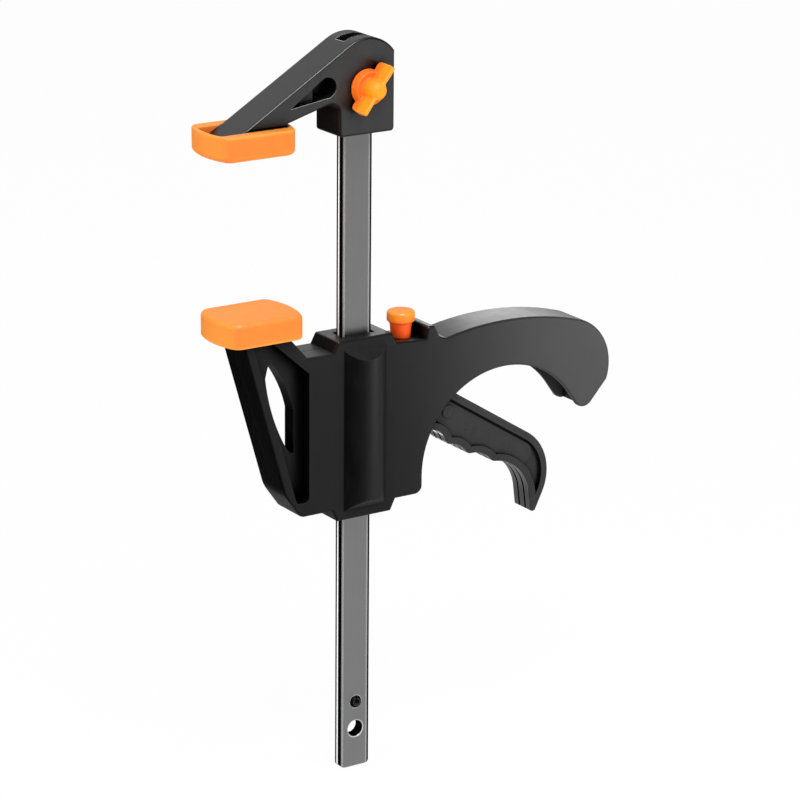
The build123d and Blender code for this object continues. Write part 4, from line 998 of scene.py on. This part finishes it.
def make_floor():
    """A wide plane just under the bar's end, white where the lamps reach and faintly shadowed."""
    work = bmesh.new()
    bmesh.ops.create_grid(work, x_segments=1, y_segments=1, size=FLOOR_HALF)
    floor = mesh_object("floor", work)
    floor.location.z = -FLOOR_DROP
    material, tree = bare_material("white_floor")
    seen = seen_rays(tree, "Is Camera Ray", "Is Glossy Ray")
    reflected = seen_rays(tree, "Is Glossy Ray")
    dimming = add(tree, "Math", reflected, 1 - FLOOR_REFLECTED, operation="MULTIPLY")
    brightness = add(tree, "Math", 1.0, dimming, operation="SUBTRACT")
    share = add(tree, "Math", seen, FLOOR_GLOW_SHARE, operation="MULTIPLY")
    matt = add(tree, "BsdfDiffuse", Color=linear(FLOOR_PAINT))
    glow = add(tree, "Emission", Color=WHITE, Strength=brightness)
    add(tree, "OutputMaterial", Surface=add(tree, "MixShader", share, matt, glow))
    material.cycles.emission_sampling = "NONE"
    floor.data.materials.append(material)


def make_world():
    """White to the camera and through openings; reflections of it fall off to the left."""
    world = bpy.data.worlds.new("studio")
    world.use_nodes = True
    tree = world.node_tree
    tree.nodes.clear()
    white = seen_rays(tree, "Is Camera Ray", "Is Transmission Ray")
    glossy = seen_rays(tree, "Is Glossy Ray")
    ahead = add(tree, "TexCoord").outputs["Generated"]
    bright_side = add(tree, "VectorMath", ahead, BRIGHT_SIDE, operation="DOT_PRODUCT")
    room = add(tree, "MapRange", bright_side, ROOM_DARK_AT, ROOM_BRIGHT_AT, ROOM_DARK, ROOM_BRIGHT,
               interpolation_type="SMOOTHSTEP")
    change = add(tree, "Math", room, SKY_LIGHT, operation="SUBTRACT")
    mirrored = add(tree, "Math", glossy, change, operation="MULTIPLY")
    lit = add(tree, "Math", SKY_LIGHT, mirrored, operation="ADD")
    sky = add(tree, "Background", Color=WHITE, Strength=most_of(tree, lit, white))
    add(tree, "OutputWorld", Surface=sky)
    world.cycles.sampling_method = "NONE"
    bpy.context.scene.world = world


make_floor()
make_world()
print("floor and world ready, floor", 2 * FLOOR_HALF, "m wide")

# %% [markdown]
# Photographers set black flags round a shiny black thing, out of view, so that its side faces
# reflect something dark and its shape shows. Three flags lie on the floor here and one stands
# far behind. Only reflections see them, so they take no light from the orange pads.

# %% Black flags
FLAG_GREY = "#1a1a1a"
FLAG_HEIGHT = 2 * MM


def black_flag(name, corners):
    """A dark card between its corners that only reflections see."""
    work = bmesh.new()
    work.faces.new([work.verts.new(corner) for corner in corners])
    flag = mesh_object(name, work)
    material, tree = bare_material(name)
    add(tree, "OutputMaterial", Surface=add(tree, "Emission", linear(FLAG_GREY), 1.0))
    material.cycles.emission_sampling = "NONE"
    flag.data.materials.append(material)
    flag.visible_camera = False
    flag.visible_diffuse = False
    flag.visible_shadow = False
    flag.visible_transmission = False


def on_floor(x_low, x_high, y_low, y_high):
    """The four corners of a card that lies on the floor."""
    around = ((x_low, y_low), (x_high, y_low), (x_high, y_high), (x_low, y_high))
    return [(x, y, FLAG_HEIGHT) for x, y in around]


# Corners in metres: on_floor takes a card's ends along X and then along Y.
FLAG_CORNERS = {
    "left_flag": on_floor(-1.6, -0.03, 0.0, 2.4),
    "front_flag": on_floor(-1.4, 0.08, -1.6, -0.24),
    "jaw_flag": on_floor(-1.4, -0.07, -0.24, 0.0),
    "standing_flag": [(-0.2, 1.2, 0), (-2.4, 0.6, 0), (-2.4, 0.6, 1.6), (-0.9, 1.0, 1.6), (-0.2, 1.2, 0.7)],
}
for flag_name, flag_corners in FLAG_CORNERS.items():
    black_flag(flag_name, flag_corners)
print("flags:", len(FLAG_CORNERS))

# %% [markdown]
# The lamps are soft boxes. Each lights either by diffuse or by glossy reflection, so that a broad glow and
# the thin light lines along edges are set apart. A lamp that is only there for one sheen on the black
# plastic is linked to only the pieces that it lights.

# %% Lamps
def lamp(name, place, aim, power, size, seen_in, only=()):
    """A soft rectangular lamp that lights by diffuse or gloss, everything or only some pieces."""
    data = bpy.data.lights.new(name, "AREA")
    data.energy = power
    data.shape = "RECTANGLE"
    data.size, data.size_y = size
    made = bpy.data.objects.new(name, data)
    bpy.context.scene.collection.objects.link(made)
    made.location = place
    made.rotation_euler = (Vector(aim) - Vector(place)).to_track_quat("-Z", "Y").to_euler()
    made.visible_glossy = seen_in == "gloss"
    made.visible_diffuse = seen_in == "diffuse"
    made.visible_camera = False
    if only:
        lit = bpy.data.collections.new(name + "_lights")
        for node_name in only:
            lit.objects.link(nodes[node_name])
        made.light_linking.receiver_collection = lit


SLIDER_PLASTIC = ("casing_front", "casing_back", "trigger")
UPPER_BAR = (0.0, 0.0, 0.25)
OVERHEAD = (-0.12, -0.42, 0.95)
# Each lamp's name, place and aim in metres, power in watts, width and height in metres, the
# kind of reflection it lights and, where it is masked, the pieces that it lights.
LAMPS = (
    ("top_softbox", OVERHEAD, UPPER_BAR, 3.0, (0.3, 0.3), "diffuse"),
    ("right_softbox", (0.40, -0.38, 0.10), (0.08, 0.0, 0.14), 1.3, (0.2, 0.2), "diffuse"),
    ("left_softbox", (-0.9, -0.3, 0.45), (0.0, 0.0, 0.15), 2.4, (0.6, 0.6), "diffuse"),
    ("ridge_gleam", OVERHEAD, UPPER_BAR, 11.0, (0.35, 0.35), "gloss"),
    ("handle_sheen", (0.43, -0.38, 0.02), (0.12, 0.0, 0.15), 0.3, (0.24, 0.24), "gloss", SLIDER_PLASTIC),
    ("back_sheen", (0.33, 0.34, 0.30), (0.09, 0.0, 0.17), 0.25, (0.16, 0.16), "gloss", SLIDER_PLASTIC),
    ("jaw_sheen", (0.34, -0.56, 0.04), (-0.02, 0.0, 0.25), 0.8, (0.4, 0.4), "gloss", ("fixed_jaw",)),
    ("finger_glint", (0.075, 0.16, 0.004), (0.08, 0.0, 0.11), 0.022, (0.02, 0.14), "gloss", ("trigger",)),
)
for lamp_values in LAMPS:
    lamp(*lamp_values)

# %% [markdown]
# The standard view shows colours as they were picked, so a white floor stays white.

# %% View settings
bpy.context.scene.view_settings.view_transform = "Standard"
